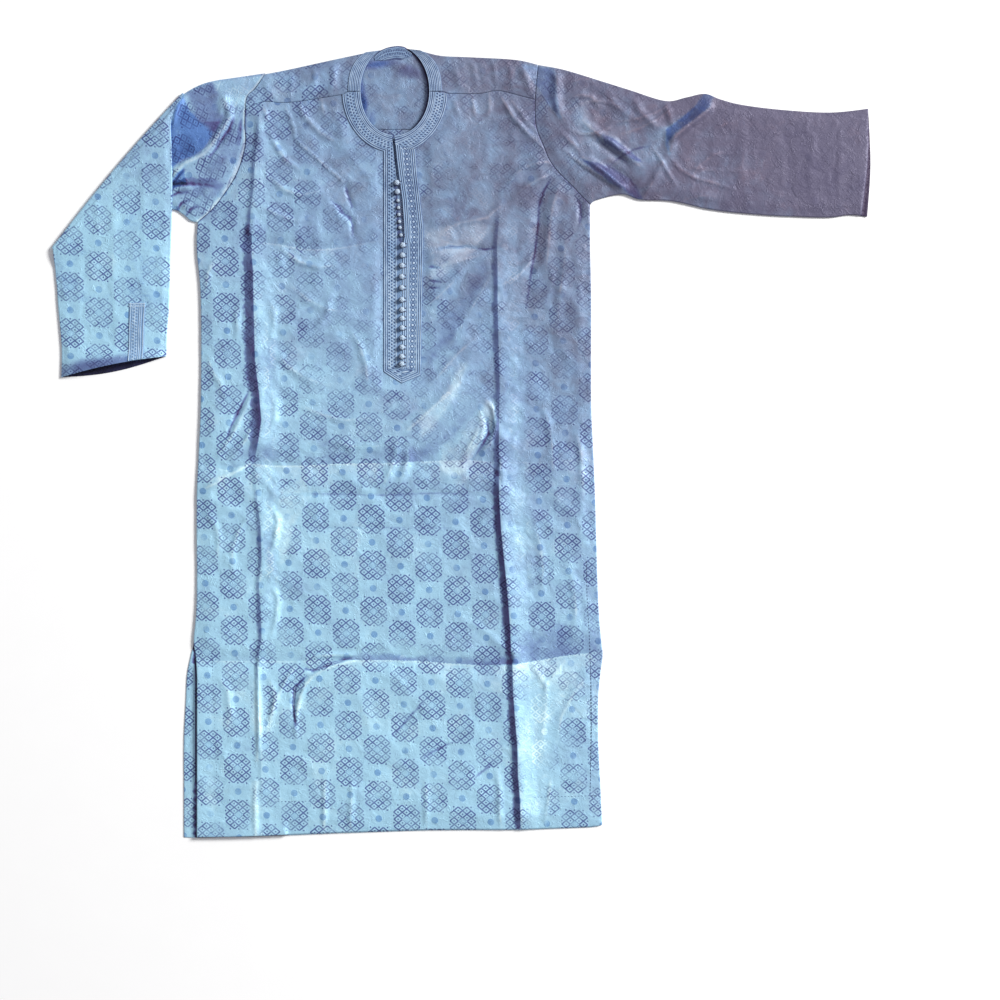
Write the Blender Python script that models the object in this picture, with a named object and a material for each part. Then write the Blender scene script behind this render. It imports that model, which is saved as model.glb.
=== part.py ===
"""A man's long kaftan tunic in damask cotton, laid out flat on its back, front side up.

Each piece is one that a tailor cuts and sews: a yoke folded over the shoulders, a back, a
front with a neck scoop and a slit, two tube sleeves, the embroidered borders and the ball
buttons. Left and right are the wearer's. The right sleeve is folded over on itself, so its
forearm lies on its upper arm and points at the hem.

Frame: the cloth rests on z = 0 with +Z up. +Y runs from the hem to the neck, and +X to the
wearer's left hand. Everything below is in millimetres until a mesh is written in metres.
"""

import math
from collections import namedtuple

import bmesh
import bpy
from mathutils import Vector, geometry

METRES = 0.001

# Cloth thickness as a wall, and the clearance that neighbouring pieces keep.
WALL = 1.2
BORDER_WALL = 1.0
GAP = 0.3

# Heights of the middle of each layer of cloth, counted up from the surface it lies on.
LAYER_STEP = WALL + GAP
LOWER = WALL / 2
UPPER = LOWER + LAYER_STEP
ON_PANEL = WALL / 2 + GAP + BORDER_WALL / 2

# Facet sizes: steps round a fold, the spacing of a panel's inner points, the longest edge,
# and how near to other lines a panel's inner points and its crease lines may come.
FOLD_STEPS = 4
PANEL_GRID = 44.0
BACK_GRID = 132.0
EDGE_STEP = 34.0
GRID_CLEAR_SHARE = 0.42
LINE_CLEAR = 2.0

# The neck hole and the borders round it are ovals about one centre.
NECK_CENTRE = Vector((-95.8, 500.5))
Oval = namedtuple("Oval", "half_width above below power")
NECK_HOLE = Oval(48.8, 65.8, 62.9, 2.0)
YOKE_BORDER = Oval(66.9, 64.4, 64.4, 2.6)
FRONT_BORDER = Oval(75.8, 87.9, 87.9, 2.0)
NECK_FOLD_RIGHT, NECK_FOLD_LEFT = 116.0, 68.5
YOKE_BORDER_RIGHT, YOKE_BORDER_LEFT = 122.5, 63.8
FRONT_BORDER_SEAM_RIGHT, FRONT_BORDER_SEAM_LEFT = 183.0, 358.0
FRONT_BORDER_RIGHT, FRONT_BORDER_LEFT = 257.4, 291.0
SLIT_TOP_RIGHT, SLIT_TOP_LEFT = 265.0, 269.3
BACK_BORDER_SHARE = 0.985
BACK_BORDER_ENDS = (58.0, 46.0)
BACK_BORDER_SAG = 1.5
RIM_STEPS = 7
NECK_RISE = 3.0
NECK_RISE_REACH = 75.0
NECK_RISE_START = 60.0

# Heights past both ends of the garment, for cutting a path at one end only.
PAST_TOP, PAST_HEM = 1000.0, -1000.0

Point = namedtuple("Point", "x y")

SHOULDER_RIGHT = (
    Point(-281.7, 525.8),
    Point(-248.8, 532.0),
    Point(-187.3, 545.5),
    Point(-137.3, 556.1),
)
SHOULDER_LEFT = (
    Point(-60.1, 559.1),
    Point(-30.0, 552.0),
    Point(11.4, 550.0),
    Point(75.8, 546.3),
)
BACK_NECKLINE = (
    Point(-82.9, 565.0),
    Point(-93.0, 566.3),
    Point(-105.8, 564.2),
)
ARMHOLE_RIGHT = (
    Point(-281.7, 525.8),
    Point(-296.0, 504.8),
    Point(-308.0, 491.9),
    Point(-310.7, 454.7),
    Point(-309.5, 430.4),
    Point(-314.6, 404.7),
    Point(-323.8, 380.4),
    Point(-337.5, 358.2),
    Point(-356.6, 333.2),
    Point(-377.5, 314.6),
)
ARMHOLE_LEFT = (
    Point(108.7, 539.1),
    Point(104.4, 489.1),
    Point(105.8, 451.9),
    Point(115.1, 426.1),
    Point(130.1, 394.7),
    Point(158.7, 364.7),
    Point(183.0, 338.9),
)
YOKE_SEAM_RIGHT = (
    Point(-307.9, 474.8),
    Point(-284.6, 486.2),
    Point(-250.3, 484.8),
    Point(-187.3, 493.4),
)
YOKE_SEAM_LEFT = (
    Point(22.9, 497.6),
    Point(51.5, 501.9),
    Point(82.2, 494.8),
    Point(104.4, 489.1),
)
BACK_SEAM_HEIGHT = 446.5

# Side edges from the armpits to the hem. The side seams end at the vents, below which the
# back shows past the front on the right.
Side = namedtuple("Side", "y front_right back_right left")
SIDES = (
    Side(314.6, -377.5, -377.5, 183.0),
    Side(274.6, -379.0, -379.0, 183.0),
    Side(203.1, -373.2, -373.2, 184.5),
    Side(60.1, -373.2, -373.2, 184.5),
    Side(-11.4, -376.0, -376.0, 187.3),
    Side(-82.9, -379.0, -379.0, 190.2),
    Side(-225.9, -379.0, -379.0, 194.5),
    Side(-283.1, -383.2, -383.2, 198.8),
    Side(-304.6, -380.5, -387.5, 200.9),
    Side(-333.0, -378.4, -393.0, 197.3),
    Side(-368.9, -378.4, -394.7, 194.5),
    Side(-426.1, -378.4, -397.5, 194.5),
    Side(-483.3, -378.4, -397.5, 197.3),
)
HEM = (
    Point(-397.5, -565.0),
    Point(-378.4, -565.8),
    Point(-300.0, -564.3),
    Point(-174.5, -559.1),
    Point(-45.8, -554.9),
    Point(84.0, -554.4),
    Point(185.9, -550.6),
    Point(200.2, -547.7),
)
FRONT_HEM_SHORT = 1.5

# The slit is open down to the first sewn button and narrows to nothing at each end.
Slit = namedtuple("Slit", "y right left")
SLIT = (
    Slit(424.0, -98.6, -95.4),
    Slit(401.8, -96.5, -93.3),
    Slit(374.6, -93.2, -89.8),
    Slit(346.1, -91.5, -85.8),
    Slit(310.0, -89.0, -83.4),
    Slit(292.0, -86.6, -83.0),
)
SLIT_END = Point(-84.4, 284.0)

# Placket: two embroidered strips side by side, ending in one point.
PLACKET_RIGHT_EDGE = (
    Point(-112.3, 409.0),
    Point(-112.3, 100.1),
)
PLACKET_LEFT_EDGE = (
    Point(-66.2, 417.6),
    Point(-63.6, 383.2),
    Point(-57.2, 327.5),
    Point(-54.6, 303.0),
    Point(-56.5, 204.5),
    Point(-58.6, 95.2),
)
PLACKET_POINT = Point(-86.4, 83.5)
PLACKET_JOIN = (
    Point(-86.0, 240.0),
    Point(-85.4, 150.0),
)

# Ball buttons, sewn down the join by eye: the steps between them vary.
BUTTON_DIAMETER = 7.6
BUTTON_SQUASH = 0.86
BUTTON_HEIGHTS = (
    370.0, 357.2, 344.6, 334.5, 324.6, 314.6, 306.0, 295.3, 281.0, 266.6,
    251.8, 235.9, 220.2, 203.1, 188.8, 176.4, 162.8, 148.6, 135.2, 122.0, 111.3,
)
BUTTON_SEGMENTS, BUTTON_RINGS = 8, 5

# Pressed folds that stand up from the front: a crest with a height at each point, the reach
# of its steep flank on the wearer's right and of its gentle flank on the left.
Crest = namedtuple("Crest", "x y height")
Crease = namedtuple("Crease", "steep gentle crests")
CREASES = (
    Crease(10.0, 22.0, (
        Crest(-303.2, 280.3, 0.0),
        Crest(-300.3, 253.1, 4.0),
        Crest(-294.6, 160.2, 5.0),
        Crest(-288.9, 60.1, 5.0),
        Crest(-291.7, -18.6, 3.0),
        Crest(-286.0, -125.8, 5.0),
        Crest(-289.0, -190.2, 4.0),
        Crest(-290.3, -283.1, 2.5),
        Crest(-293.2, -318.9, 2.0),
        Crest(-288.0, -457.6, 0.0),
    )),
    Crease(11.0, 24.0, (
        Crest(54.3, 314.6, 0.0),
        Crest(50.1, 268.8, 4.0),
        Crest(50.1, 193.1, 5.0),
        Crest(52.9, 95.0, 4.0),
        Crest(52.9, -7.2, 5.0),
        Crest(51.5, -77.2, 4.0),
        Crest(57.2, -157.3, 6.0),
        Crest(65.8, -227.4, 5.0),
        Crest(70.0, -297.0, 3.0),
        Crest(72.9, -354.6, 3.0),
        Crest(78.7, -433.3, 6.0),
        Crest(82.9, -538.0, 4.0),
    )),
    Crease(10.0, 14.0, (
        Crest(-269.0, 280.3, 0.0),
        Crest(-220.0, 277.4, 2.5),
        Crest(-163.0, 280.3, 2.5),
        Crest(-124.0, 289.0, 0.0),
    )),
    Crease(10.0, 14.0, (
        Crest(-262.0, -28.6, 0.0),
        Crest(-200.0, -29.0, 2.5),
        Crest(-90.0, -30.5, 2.5),
        Crest(18.0, -28.6, 0.0),
    )),
    Crease(10.0, 14.0, (
        Crest(-262.0, -312.5, 0.0),
        Crest(-157.3, -311.7, 3.0),
        Crest(-60.1, -313.2, 3.0),
        Crest(34.0, -318.9, 0.0),
    )),
)

# The left sleeve lies straight out. Its edges run from the armhole to the cuff.
SLEEVE_TOP = (
    Point(145.9, 532.0),
    Point(193.1, 517.7),
    Point(238.8, 503.4),
    Point(290.3, 487.6),
    Point(320.0, 492.5),
    Point(347.0, 497.8),
    Point(368.9, 490.0),
    Point(400.0, 482.0),
    Point(457.6, 474.8),
    Point(526.0, 471.0),
    Point(580.6, 476.5),
)
SLEEVE_BOTTOM = (
    Point(193.0, 346.1),
    Point(229.0, 354.0),
    Point(255.0, 346.1),
    Point(301.0, 344.0),
    Point(357.5, 331.8),
    Point(426.1, 324.6),
    Point(483.3, 321.7),
    Point(526.0, 320.9),
    Point(554.8, 324.5),
    Point(579.2, 321.8),
)
CUFF_EDGE = (
    Point(584.0, 396.0),
)
SLEEVE_CREASES = (
    Crease(9.0, 20.0, (
        Crest(350.0, 486.0, 0.0),
        Crest(331.8, 468.0, 5.0),
        Crest(306.0, 444.7, 6.0),
        Crest(297.4, 425.0, 4.0),
        Crest(294.6, 400.0, 0.0),
    )),
    Crease(12.0, 16.0, (
        Crest(187.3, 392.0, 0.0),
        Crest(203.1, 386.1, 5.0),
        Crest(223.1, 372.0, 6.0),
        Crest(243.1, 360.0, 3.0),
    )),
)

# The right sleeve turns back along a slanting fold. Each station is a straight line across
# the flat tube, given by its ends on the tube's outer edge and on its underarm edge.
Station = namedtuple("Station", "outer_x outer_y under_x under_y crease")
UPPER_ARM = (
    Station(-301.0, 523.0, -387.5, 317.5, 0.0),
    Station(-332.0, 518.5, -406.1, 331.8, 0.0),
    Station(-352.0, 515.5, -425.0, 333.0, 3.0),
    Station(-370.0, 511.0, -455.0, 321.0, 0.0),
    Station(-386.0, 504.0, -530.0, 294.5, 0.0),
)
ELBOW = Station(-398.2, 496.2, -583.4, 276.6, 0.0)
FOREARM = (
    Station(-415.4, 460.5, -582.4, 263.1, 0.0),
    Station(-415.4, 417.6, -580.6, 248.8, 0.0),
    Station(-414.7, 367.5, -579.2, 234.5, 0.0),
    Station(-416.1, 310.3, -577.8, 221.7, 0.0),
    Station(-418.3, 253.1, -577.0, 210.2, 0.0),
    Station(-419.7, 198.8, -576.3, 198.8, 0.0),
    Station(-422.6, 163.0, -572.8, 160.2, 0.0),
    Station(-423.6, 136.9, -570.6, 128.7, 0.0),
    Station(-424.0, 122.4, -571.5, 92.8, 0.0),
)
ELBOW_BOW = 4.0
ELBOW_TURNS = 4
SINK_CLEAR, SINK_REACH = 3.0, 26.0
CREASE_SPAN = 0.6
CUFF_TOP_BOW, CUFF_UNDER_BOW = 3.0, 7.0
CUFF_LIFT = 2.5
# Where the samples across the tube lie: the third and fifth bound the cuff's border.
ACROSS = (0.0, 0.09, 0.206, 0.281, 0.357, 0.5, 0.64, 0.78, 0.91, 1.0)
BORDER_ACROSS = (0.206, 0.357)
BORDER_FIRST_STATION = 5

DAMASK_BLUE = (0.31, 0.47, 0.66)
EMBROIDERY_BLUE = (0.42, 0.53, 0.67)
BUTTON_BLUE = (0.52, 0.60, 0.68)
SHADE_BLUE = (0.24, 0.38, 0.58)


# ---------------------------------------------------------------- plan curves


def smooth_path(points, per_span=2):
    """A Catmull-Rom curve through the points, with per_span steps from each to the next."""
    ends = [points[0], *points, points[-1]]
    path = []
    for before, start, end, after in zip(ends, ends[1:], ends[2:], ends[3:]):
        p0, p1, p2, p3 = (Vector((p.x, p.y)) for p in (before, start, end, after))
        for step in range(per_span):
            t = step / per_span
            pull = (p2 - p0) * t + (2 * p0 - 5 * p1 + 4 * p2 - p3) * t * t
            path.append(p1 + 0.5 * (pull + (3 * p1 - p0 - 3 * p2 + p3) * t ** 3))
    return path + [Vector((points[-1].x, points[-1].y))]


def plain_path(points):
    return [Vector((p.x, p.y)) for p in points]


def beside(path, distance):
    """The path moved sideways, to the left of its own direction."""
    moved = []
    for i, point in enumerate(path):
        along = path[min(i + 1, len(path) - 1)] - path[max(i - 1, 0)]
        along.normalize()
        moved.append(point + Vector((-along.y, along.x)) * distance)
    return moved


def upright_part(path, top, bottom):
    """The stretch of a falling path between two heights, with ends worked out on it."""
    part = []
    for start, end in zip(path, path[1:]):
        for height in (top, bottom):
            if end.y < height < start.y:
                part.append(start.lerp(end, (start.y - height) / (start.y - end.y)))
        if bottom <= end.y <= top:
            part.append(end)
    if path[0].y <= top:
        part.insert(0, path[0])
    return sorted(part, key=lambda p: -p.y)


def at_height(path, height):
    """The point of a falling path at a height."""
    for start, end in zip(path, path[1:]):
        if end.y <= height <= start.y:
            return start.lerp(end, (start.y - height) / (start.y - end.y))
    return path[-1]


def resampled(path, step):
    """The path with points added so that none of its straights is longer than step."""
    full = [path[0]]
    for start, end in zip(path, path[1:]):
        count = max(1, math.ceil((end - start).length / step))
        full += [start.lerp(end, (i + 1) / count) for i in range(count)]
    return full


def on_oval(oval, degrees):
    """The point of an oval at an angle counted from +X towards +Y."""
    angle = math.radians(degrees)
    reach = oval.above if math.sin(angle) > 0 else oval.below
    x = math.copysign(abs(math.cos(angle)) ** (2 / oval.power), math.cos(angle))
    y = math.copysign(abs(math.sin(angle)) ** (2 / oval.power), math.sin(angle))
    return NECK_CENTRE + Vector((oval.half_width * x, reach * y))


def oval_arc(oval, start, end, count):
    step = (end - start) / count
    return [on_oval(oval, start + step * i) for i in range(count + 1)]


def oval_share(oval, point):
    """How far out a point lies on an oval's scale: 1 on the oval, 0 at its centre."""
    x, y = point - NECK_CENTRE
    reach = oval.above if y > 0 else oval.below
    share = abs(x / oval.half_width) ** oval.power + abs(y / reach) ** oval.power
    return share ** (1 / oval.power)


def side_path(column):
    return [Vector((getattr(row, column), row.y)) for row in SIDES]


def hem_height(x):
    """The hem's height at x, read between the rows of HEM."""
    x = min(max(x, HEM[0].x), HEM[-1].x)
    for start, end in zip(HEM, HEM[1:]):
        if x <= end.x:
            return start.y + (end.y - start.y) * (x - start.x) / (end.x - start.x)
    return HEM[-1].y


def inside(outline, point):
    """Whether a point lies within a closed outline, by counting crossings."""
    within = False
    for start, end in zip(outline, outline[1:] + outline[:1]):
        if (start.y > point.y) != (end.y > point.y):
            share = (point.y - start.y) / (end.y - start.y)
            if point.x < start.x + share * (end.x - start.x):
                within = not within
    return within


def distance_to_segment(point, start, end):
    along = end - start
    share = max(0.0, min(1.0, (point - start).dot(along) / max(along.length_squared, 1e-9)))
    return (point - start - along * share).length


def eased(share):
    share = max(0.0, min(1.0, share))
    return share * share * (3 - 2 * share)


# ------------------------------------------------------------ height of folds


def crease_height(crease, point):
    """How far one crease lifts the cloth at a point: a crest with two straight flanks."""
    best = 0.0
    for start, end in zip(crease.crests, crease.crests[1:]):
        low, high = Vector((start.x, start.y)), Vector((end.x, end.y))
        along = high - low
        share = (point - low).dot(along) / along.length_squared
        share = max(0.0, min(1.0, share))
        off = point - low - along * share
        on_steep_side = along.x * off.y - along.y * off.x < 0
        reach = crease.steep if on_steep_side else crease.gentle
        crest = start.height + (end.height - start.height) * share
        best = max(best, crest * (1 - off.length / reach))
    return best


def neck_rise(point):
    """The front edge of the neck stands a little off the back, level with the shoulders."""
    out = oval_share(NECK_HOLE, point) - 1
    fade = 1 - eased(out * NECK_HOLE.half_width / NECK_RISE_REACH)
    below_fold = eased((on_oval(NECK_HOLE, NECK_FOLD_LEFT).y - point.y) / NECK_RISE_START)
    return NECK_RISE * fade * below_fold


def front_height(point):
    return UPPER + neck_rise(point) + max(crease_height(c, point) for c in CREASES)


def sleeve_height(point):
    return UPPER + max(crease_height(c, point) for c in SLEEVE_CREASES)


def lower_height(_point):
    return LOWER


def crease_lines(creases):
    """Crest and foot of each flank, as lines that the triangles follow."""
    lines = []
    for crease in creases:
        crest = resampled(plain_path(crease.crests), EDGE_STEP)
        lines += [crest, beside(crest, crease.gentle), beside(crest, -crease.steep)]
    return lines


# --------------------------------------------------------------- sheet solids


class Sheet:
    """The surface half way through a piece of cloth: points, each with its way out to the
    cloth's face, and faces. It becomes a solid by going half a wall both ways."""

    def __init__(self):
        self.points, self.ways, self.faces = [], [], []

    def add_point(self, point, way):
        self.points.append(Vector(point))
        self.ways.append(Vector(way))
        return len(self.points) - 1

    def add_layer(self, outline, height, way, lines=(), ties=(), grid=PANEL_GRID):
        """A flat layer inside an outline, lifted to height(point). Its triangles follow the
        ties, which may run from edge to edge, the stretches of the lines that are clear of
        the edge, and a grid. Returns the indices of its points."""
        edge = [Vector(p) for p in outline]
        points = list(edge)
        segments = [(i, (i + 1) % len(edge)) for i in range(len(edge))]
        for tie in ties:
            for start, end in zip(tie, tie[1:]):
                segments.append((len(points), len(points) + 1))
                points += [start, end]
        for line in lines:
            kept = [p if self.well_inside(p, edge) else None for p in line]
            for start, end in zip(kept, kept[1:]):
                if start is not None and end is not None:
                    segments.append((len(points), len(points) + 1))
                    points += [start, end]
        points += self.grid_points(edge, points, segments, grid)
        found = geometry.delaunay_2d_cdt(points, segments, [], 0, 1e-3)
        plan, triangles = found[0], found[2]
        base = len(self.points)
        for point in plan:
            self.add_point((point.x, point.y, height(point)), (0, 0, way))
        for triangle in triangles:
            middle = sum((plan[i] for i in triangle), Vector((0, 0))) / 3
            if inside(edge, middle):
                self.faces.append([base + i for i in triangle])
        return range(base, len(self.points))

    @staticmethod
    def well_inside(point, edge):
        pairs = zip(edge, edge[1:] + edge[:1])
        clear = all(distance_to_segment(point, a, b) >= LINE_CLEAR for a, b in pairs)
        return clear and inside(edge, point)

    @staticmethod
    def grid_points(edge, points, segments, grid):
        low_x, high_x = min(p.x for p in edge), max(p.x for p in edge)
        low_y, high_y = min(p.y for p in edge), max(p.y for p in edge)
        kept, clear = [], GRID_CLEAR_SHARE * grid
        for row in range(int((high_y - low_y) / grid) + 1):
            for column in range(int((high_x - low_x) / grid) + 1):
                offset = 0.5 if row % 2 else 0.0
                point = Vector((low_x + (column + offset) * grid, low_y + row * grid))
                if not inside(edge, point):
                    continue
                spans = ((points[a], points[b]) for a, b in segments)
                if all(distance_to_segment(point, a, b) > clear for a, b in spans):
                    kept.append(point)
        return kept

    def nearest(self, indices, plan_point):
        return min(indices, key=lambda i: (self.points[i].xy - plan_point).length_squared)

    def add_fold(self, chain, lower, upper, outward):
        """Joins two layers round their common edge. outward is 1 where the cloth turns on
        the left of the chain's direction, and -1 where it turns on the right."""
        rows = []
        for i, point in enumerate(chain):
            along = chain[min(i + 1, len(chain) - 1)] - chain[max(i - 1, 0)]
            out = Vector((-along.y, along.x, 0.0)).normalized() * outward
            low, high = self.nearest(lower, point), self.nearest(upper, point)
            centre = (self.points[low] + self.points[high]) / 2
            radius = (self.points[high].z - self.points[low].z) / 2
            row = [low]
            for step in range(1, FOLD_STEPS):
                angle = math.pi * step / FOLD_STEPS
                way = out * math.sin(angle) - Vector((0, 0, math.cos(angle)))
                row.append(self.add_point(centre + way * radius, way))
            rows.append(row + [high])
        self.add_strips(rows)

    def add_strips(self, rows, closed=False):
        """Quads between neighbouring rows of points."""
        for here, there in zip(rows, rows[1:]):
            count = len(here) if closed else len(here) - 1
            for i in range(count):
                j = (i + 1) % len(here)
                self.faces.append([here[i], here[j], there[j], there[i]])

    def part_above(self, chosen_faces, distance, inset):
        """A new sheet over some of the faces, moved out by distance and trimmed by inset."""
        part, new_index = Sheet(), {}
        for face in chosen_faces:
            for i in face:
                if i not in new_index:
                    point = self.points[i] + Vector((0, 0, distance))
                    new_index[i] = part.add_point(point, (0, 0, 1))
            part.faces.append([new_index[i] for i in face])
        moves = [Vector((0, 0, 0)) for _ in part.points]
        for start, end in part.rim():
            along = part.points[end] - part.points[start]
            inward = Vector((-along.y, along.x, 0)).normalized()
            moves[start] += inward
            moves[end] += inward
        for i, move in enumerate(moves):
            if move.length > 1e-6:
                part.points[i] += move.normalized() * inset
        return part

    def faces_over(self, indices, outline):
        """The faces of one layer whose middle lies inside an outline."""
        layer = set(indices)
        chosen = []
        for face in self.faces:
            middle = sum((self.points[i].xy for i in face), Vector((0, 0))) / len(face)
            if all(i in layer for i in face) and inside(outline, middle):
                chosen.append(face)
        return chosen

    def rim(self):
        """Edges with one face only, in that face's order."""
        seen = {}
        for face in self.faces:
            for start, end in zip(face, face[1:] + face[:1]):
                seen.setdefault(frozenset((start, end)), []).append((start, end))
        return [found[0] for found in seen.values() if len(found) == 1]

    def solid(self, name, wall, material):
        mesh = bmesh.new()
        used = sorted({i for face in self.faces for i in face})
        half = wall / 2
        outer, inner = {}, {}
        for i in used:
            outer[i] = mesh.verts.new((self.points[i] + self.ways[i] * half) * METRES)
            inner[i] = mesh.verts.new((self.points[i] - self.ways[i] * half) * METRES)
        for face in self.faces:
            mesh.faces.new([outer[i] for i in face])
            mesh.faces.new([inner[i] for i in reversed(face)])
        for start, end in self.rim():
            mesh.faces.new([outer[end], outer[start], inner[start], inner[end]])
        bmesh.ops.recalc_face_normals(mesh, faces=mesh.faces[:])
        bmesh.ops.triangulate(mesh, faces=mesh.faces[:])
        return place(name, mesh, material)


def place(name, mesh, material):
    """Writes a bmesh to a new object of its own."""
    data = bpy.data.meshes.new(name)
    mesh.to_mesh(data)
    mesh.free()
    data.materials.append(material)
    thing = bpy.data.objects.new(name, data)
    bpy.context.scene.collection.objects.link(thing)
    return thing


def make_material(name, colour, roughness):
    material = bpy.data.materials.new(name)
    material.use_nodes = True
    shader = material.node_tree.nodes["Principled BSDF"]
    shader.inputs["Base Color"].default_value = (*colour, 1.0)
    shader.inputs["Roughness"].default_value = roughness
    shader.inputs["Metallic"].default_value = 0.0
    return material


# -------------------------------------------------------------- seams as cut


def armhole_right(side):
    """The right armhole, downwards, with the same points for the body, on its left, as for
    the rings of the sleeve, on its right."""
    curve = resampled(smooth_path(ARMHOLE_RIGHT), 1.0)
    last = len(curve) - 1
    return beside([curve[round(share * last)] for share in ACROSS], side * GAP / 2)


def armhole_left(side):
    """The left armhole, downwards. The sleeve is on its left, the body on its right."""
    return beside(smooth_path(ARMHOLE_LEFT), side * GAP / 2)


def shoulder_right():
    """The fold over the right shoulder, from the armhole to the neck hole."""
    neck_end = on_oval(NECK_HOLE, NECK_FOLD_RIGHT)
    return [armhole_right(1)[0], *plain_path(SHOULDER_RIGHT[1:]), neck_end]


def shoulder_left():
    """The fold over the left shoulder, from the neck hole to the armhole."""
    neck_end = on_oval(NECK_HOLE, NECK_FOLD_LEFT)
    return [neck_end, *plain_path(SHOULDER_LEFT), armhole_left(-1)[0]]


def yoke_seam_right(side):
    """Yoke to front on the right, from the armhole to the neck hole."""
    path = plain_path(YOKE_SEAM_RIGHT)
    path[0] = at_height(armhole_right(0), path[0].y)
    border = on_oval(FRONT_BORDER, FRONT_BORDER_SEAM_RIGHT)
    path += [border, on_oval(YOKE_BORDER, 180.0), on_oval(NECK_HOLE, 180.0)]
    return beside(path, side * GAP / 2)


def yoke_seam_left(side):
    """Yoke to front on the left, from the neck hole to the armhole."""
    path = [on_oval(NECK_HOLE, 360.0), on_oval(YOKE_BORDER, 360.0)]
    path += [on_oval(FRONT_BORDER, FRONT_BORDER_SEAM_LEFT), *plain_path(YOKE_SEAM_LEFT)]
    path[-1] = at_height(armhole_left(0), path[-1].y)
    return beside(path, side * GAP / 2)


def slit_outline():
    """The slit's left edge downwards, its end, and its right edge upwards."""
    left = [Vector((row.left, row.y)) for row in SLIT]
    right = [Vector((row.right, row.y)) for row in reversed(SLIT)]
    return left + [Vector(SLIT_END)] + right


def slit_half(column):
    return [Vector((getattr(row, column), row.y)) for row in SLIT]


def placket_join():
    """The line where the two strips of the placket meet, below the slit."""
    return [Vector(SLIT_END), *plain_path(PLACKET_JOIN), Vector(PLACKET_POINT)]


def button_line(height):
    """Where the buttons' row runs: the slit's right edge, then the strips' join."""
    return at_height(slit_half("right") + placket_join(), height).x


# ------------------------------------------------------------------- pieces


def ends_on(path, outline):
    """The path with both its ends moved onto the nearest points of an outline."""
    first = min(outline, key=lambda p: (p - path[0]).length)
    last = min(outline, key=lambda p: (p - path[-1]).length)
    return [first, *path[1:-1], last]


def within_neck_hole(degrees):
    """A point just inside the neck hole, clear of the layer above."""
    return NECK_CENTRE.lerp(on_oval(NECK_HOLE, degrees), BACK_BORDER_SHARE)


def back_border_outline():
    """The back's border, as it shows through the neck hole."""
    left_end = [within_neck_hole(degrees) for degrees in BACK_BORDER_ENDS]
    right_end = [within_neck_hole(180.0 - degrees) for degrees in reversed(BACK_BORDER_ENDS)]
    low = Vector((NECK_CENTRE.x, left_end[-1].y - BACK_BORDER_SAG))
    first, last = plain_path((BACK_NECKLINE[0], BACK_NECKLINE[-1]))
    return [first, *left_end, low, *right_end, last]


def add_border(sheet, layer, outline, name, material):
    """An embroidered border: the panel's own points inside an outline, moved out."""
    faces = sheet.faces_over(layer, outline)
    part = sheet.part_above(faces, ON_PANEL, GAP / 2)
    return part.solid(name, BORDER_WALL, material)


def make_yoke(cloth, border):
    """One piece folded over both shoulders: its back half whole, its front half in two."""
    sheet = Sheet()
    down_right = upright_part(armhole_right(1), PAST_TOP, BACK_SEAM_HEIGHT + GAP / 2)
    up_left = upright_part(armhole_left(-1), PAST_TOP, BACK_SEAM_HEIGHT + GAP / 2)[::-1]
    seam = resampled([down_right[-1], up_left[0]], PANEL_GRID)
    back_neck = plain_path(BACK_NECKLINE)
    outline = down_right[:-1] + seam + up_left[1:-1]
    outline += shoulder_left()[::-1] + back_neck + shoulder_right()[::-1][:-1]
    back_border = back_border_outline()
    lower = sheet.add_layer(outline, lower_height, -1, ties=[back_border])
    add_border(sheet, lower, back_border + back_neck[1:-1][::-1], "neck_border_back", border)

    seam = resampled(yoke_seam_right(1), EDGE_STEP)
    down = upright_part(armhole_right(1), PAST_TOP, seam[0].y)
    rim = oval_arc(NECK_HOLE, 180.0, NECK_FOLD_RIGHT, RIM_STEPS)
    outline = down[:-1] + seam[:-1] + rim + shoulder_right()[::-1][1:-1]
    edge = ends_on(oval_arc(YOKE_BORDER, 180.0, YOKE_BORDER_RIGHT, RIM_STEPS), outline)
    upper = sheet.add_layer(outline, front_height, 1, ties=[edge])
    sheet.add_fold(shoulder_right(), lower, upper, 1)
    add_border(sheet, upper, edge + rim[::-1], "neck_border_yoke_right", border)

    seam = resampled(yoke_seam_left(1), EDGE_STEP)
    up = upright_part(armhole_left(-1), PAST_TOP, seam[-1].y)[::-1]
    rim = oval_arc(NECK_HOLE, NECK_FOLD_LEFT, 0.0, RIM_STEPS)
    outline = rim[:-1] + seam[:-1] + up[:-1] + shoulder_left()[::-1][:-1]
    edge = ends_on(oval_arc(YOKE_BORDER, 0.0, YOKE_BORDER_LEFT, RIM_STEPS), outline)
    upper = sheet.add_layer(outline, front_height, 1, ties=[edge])
    sheet.add_fold(shoulder_left(), lower, upper, 1)
    add_border(sheet, upper, edge + rim, "neck_border_yoke_left", border)
    sheet.solid("yoke", WALL, cloth)


def make_back(cloth):
    """The back below the yoke, down to the hem."""
    down = upright_part(armhole_right(1), BACK_SEAM_HEIGHT - GAP / 2, PAST_HEM)
    up = upright_part(armhole_left(-1), BACK_SEAM_HEIGHT - GAP / 2, PAST_HEM)[::-1]
    right = side_path("back_right")[1:]
    left = side_path("left")[::-1]
    hem = plain_path(HEM)
    outline = down + right + resampled(hem, EDGE_STEP) + left + up
    sheet = Sheet()
    sheet.add_layer(resampled(outline, EDGE_STEP), lower_height, -1, grid=BACK_GRID)
    sheet.solid("back", WALL, cloth)


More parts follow.
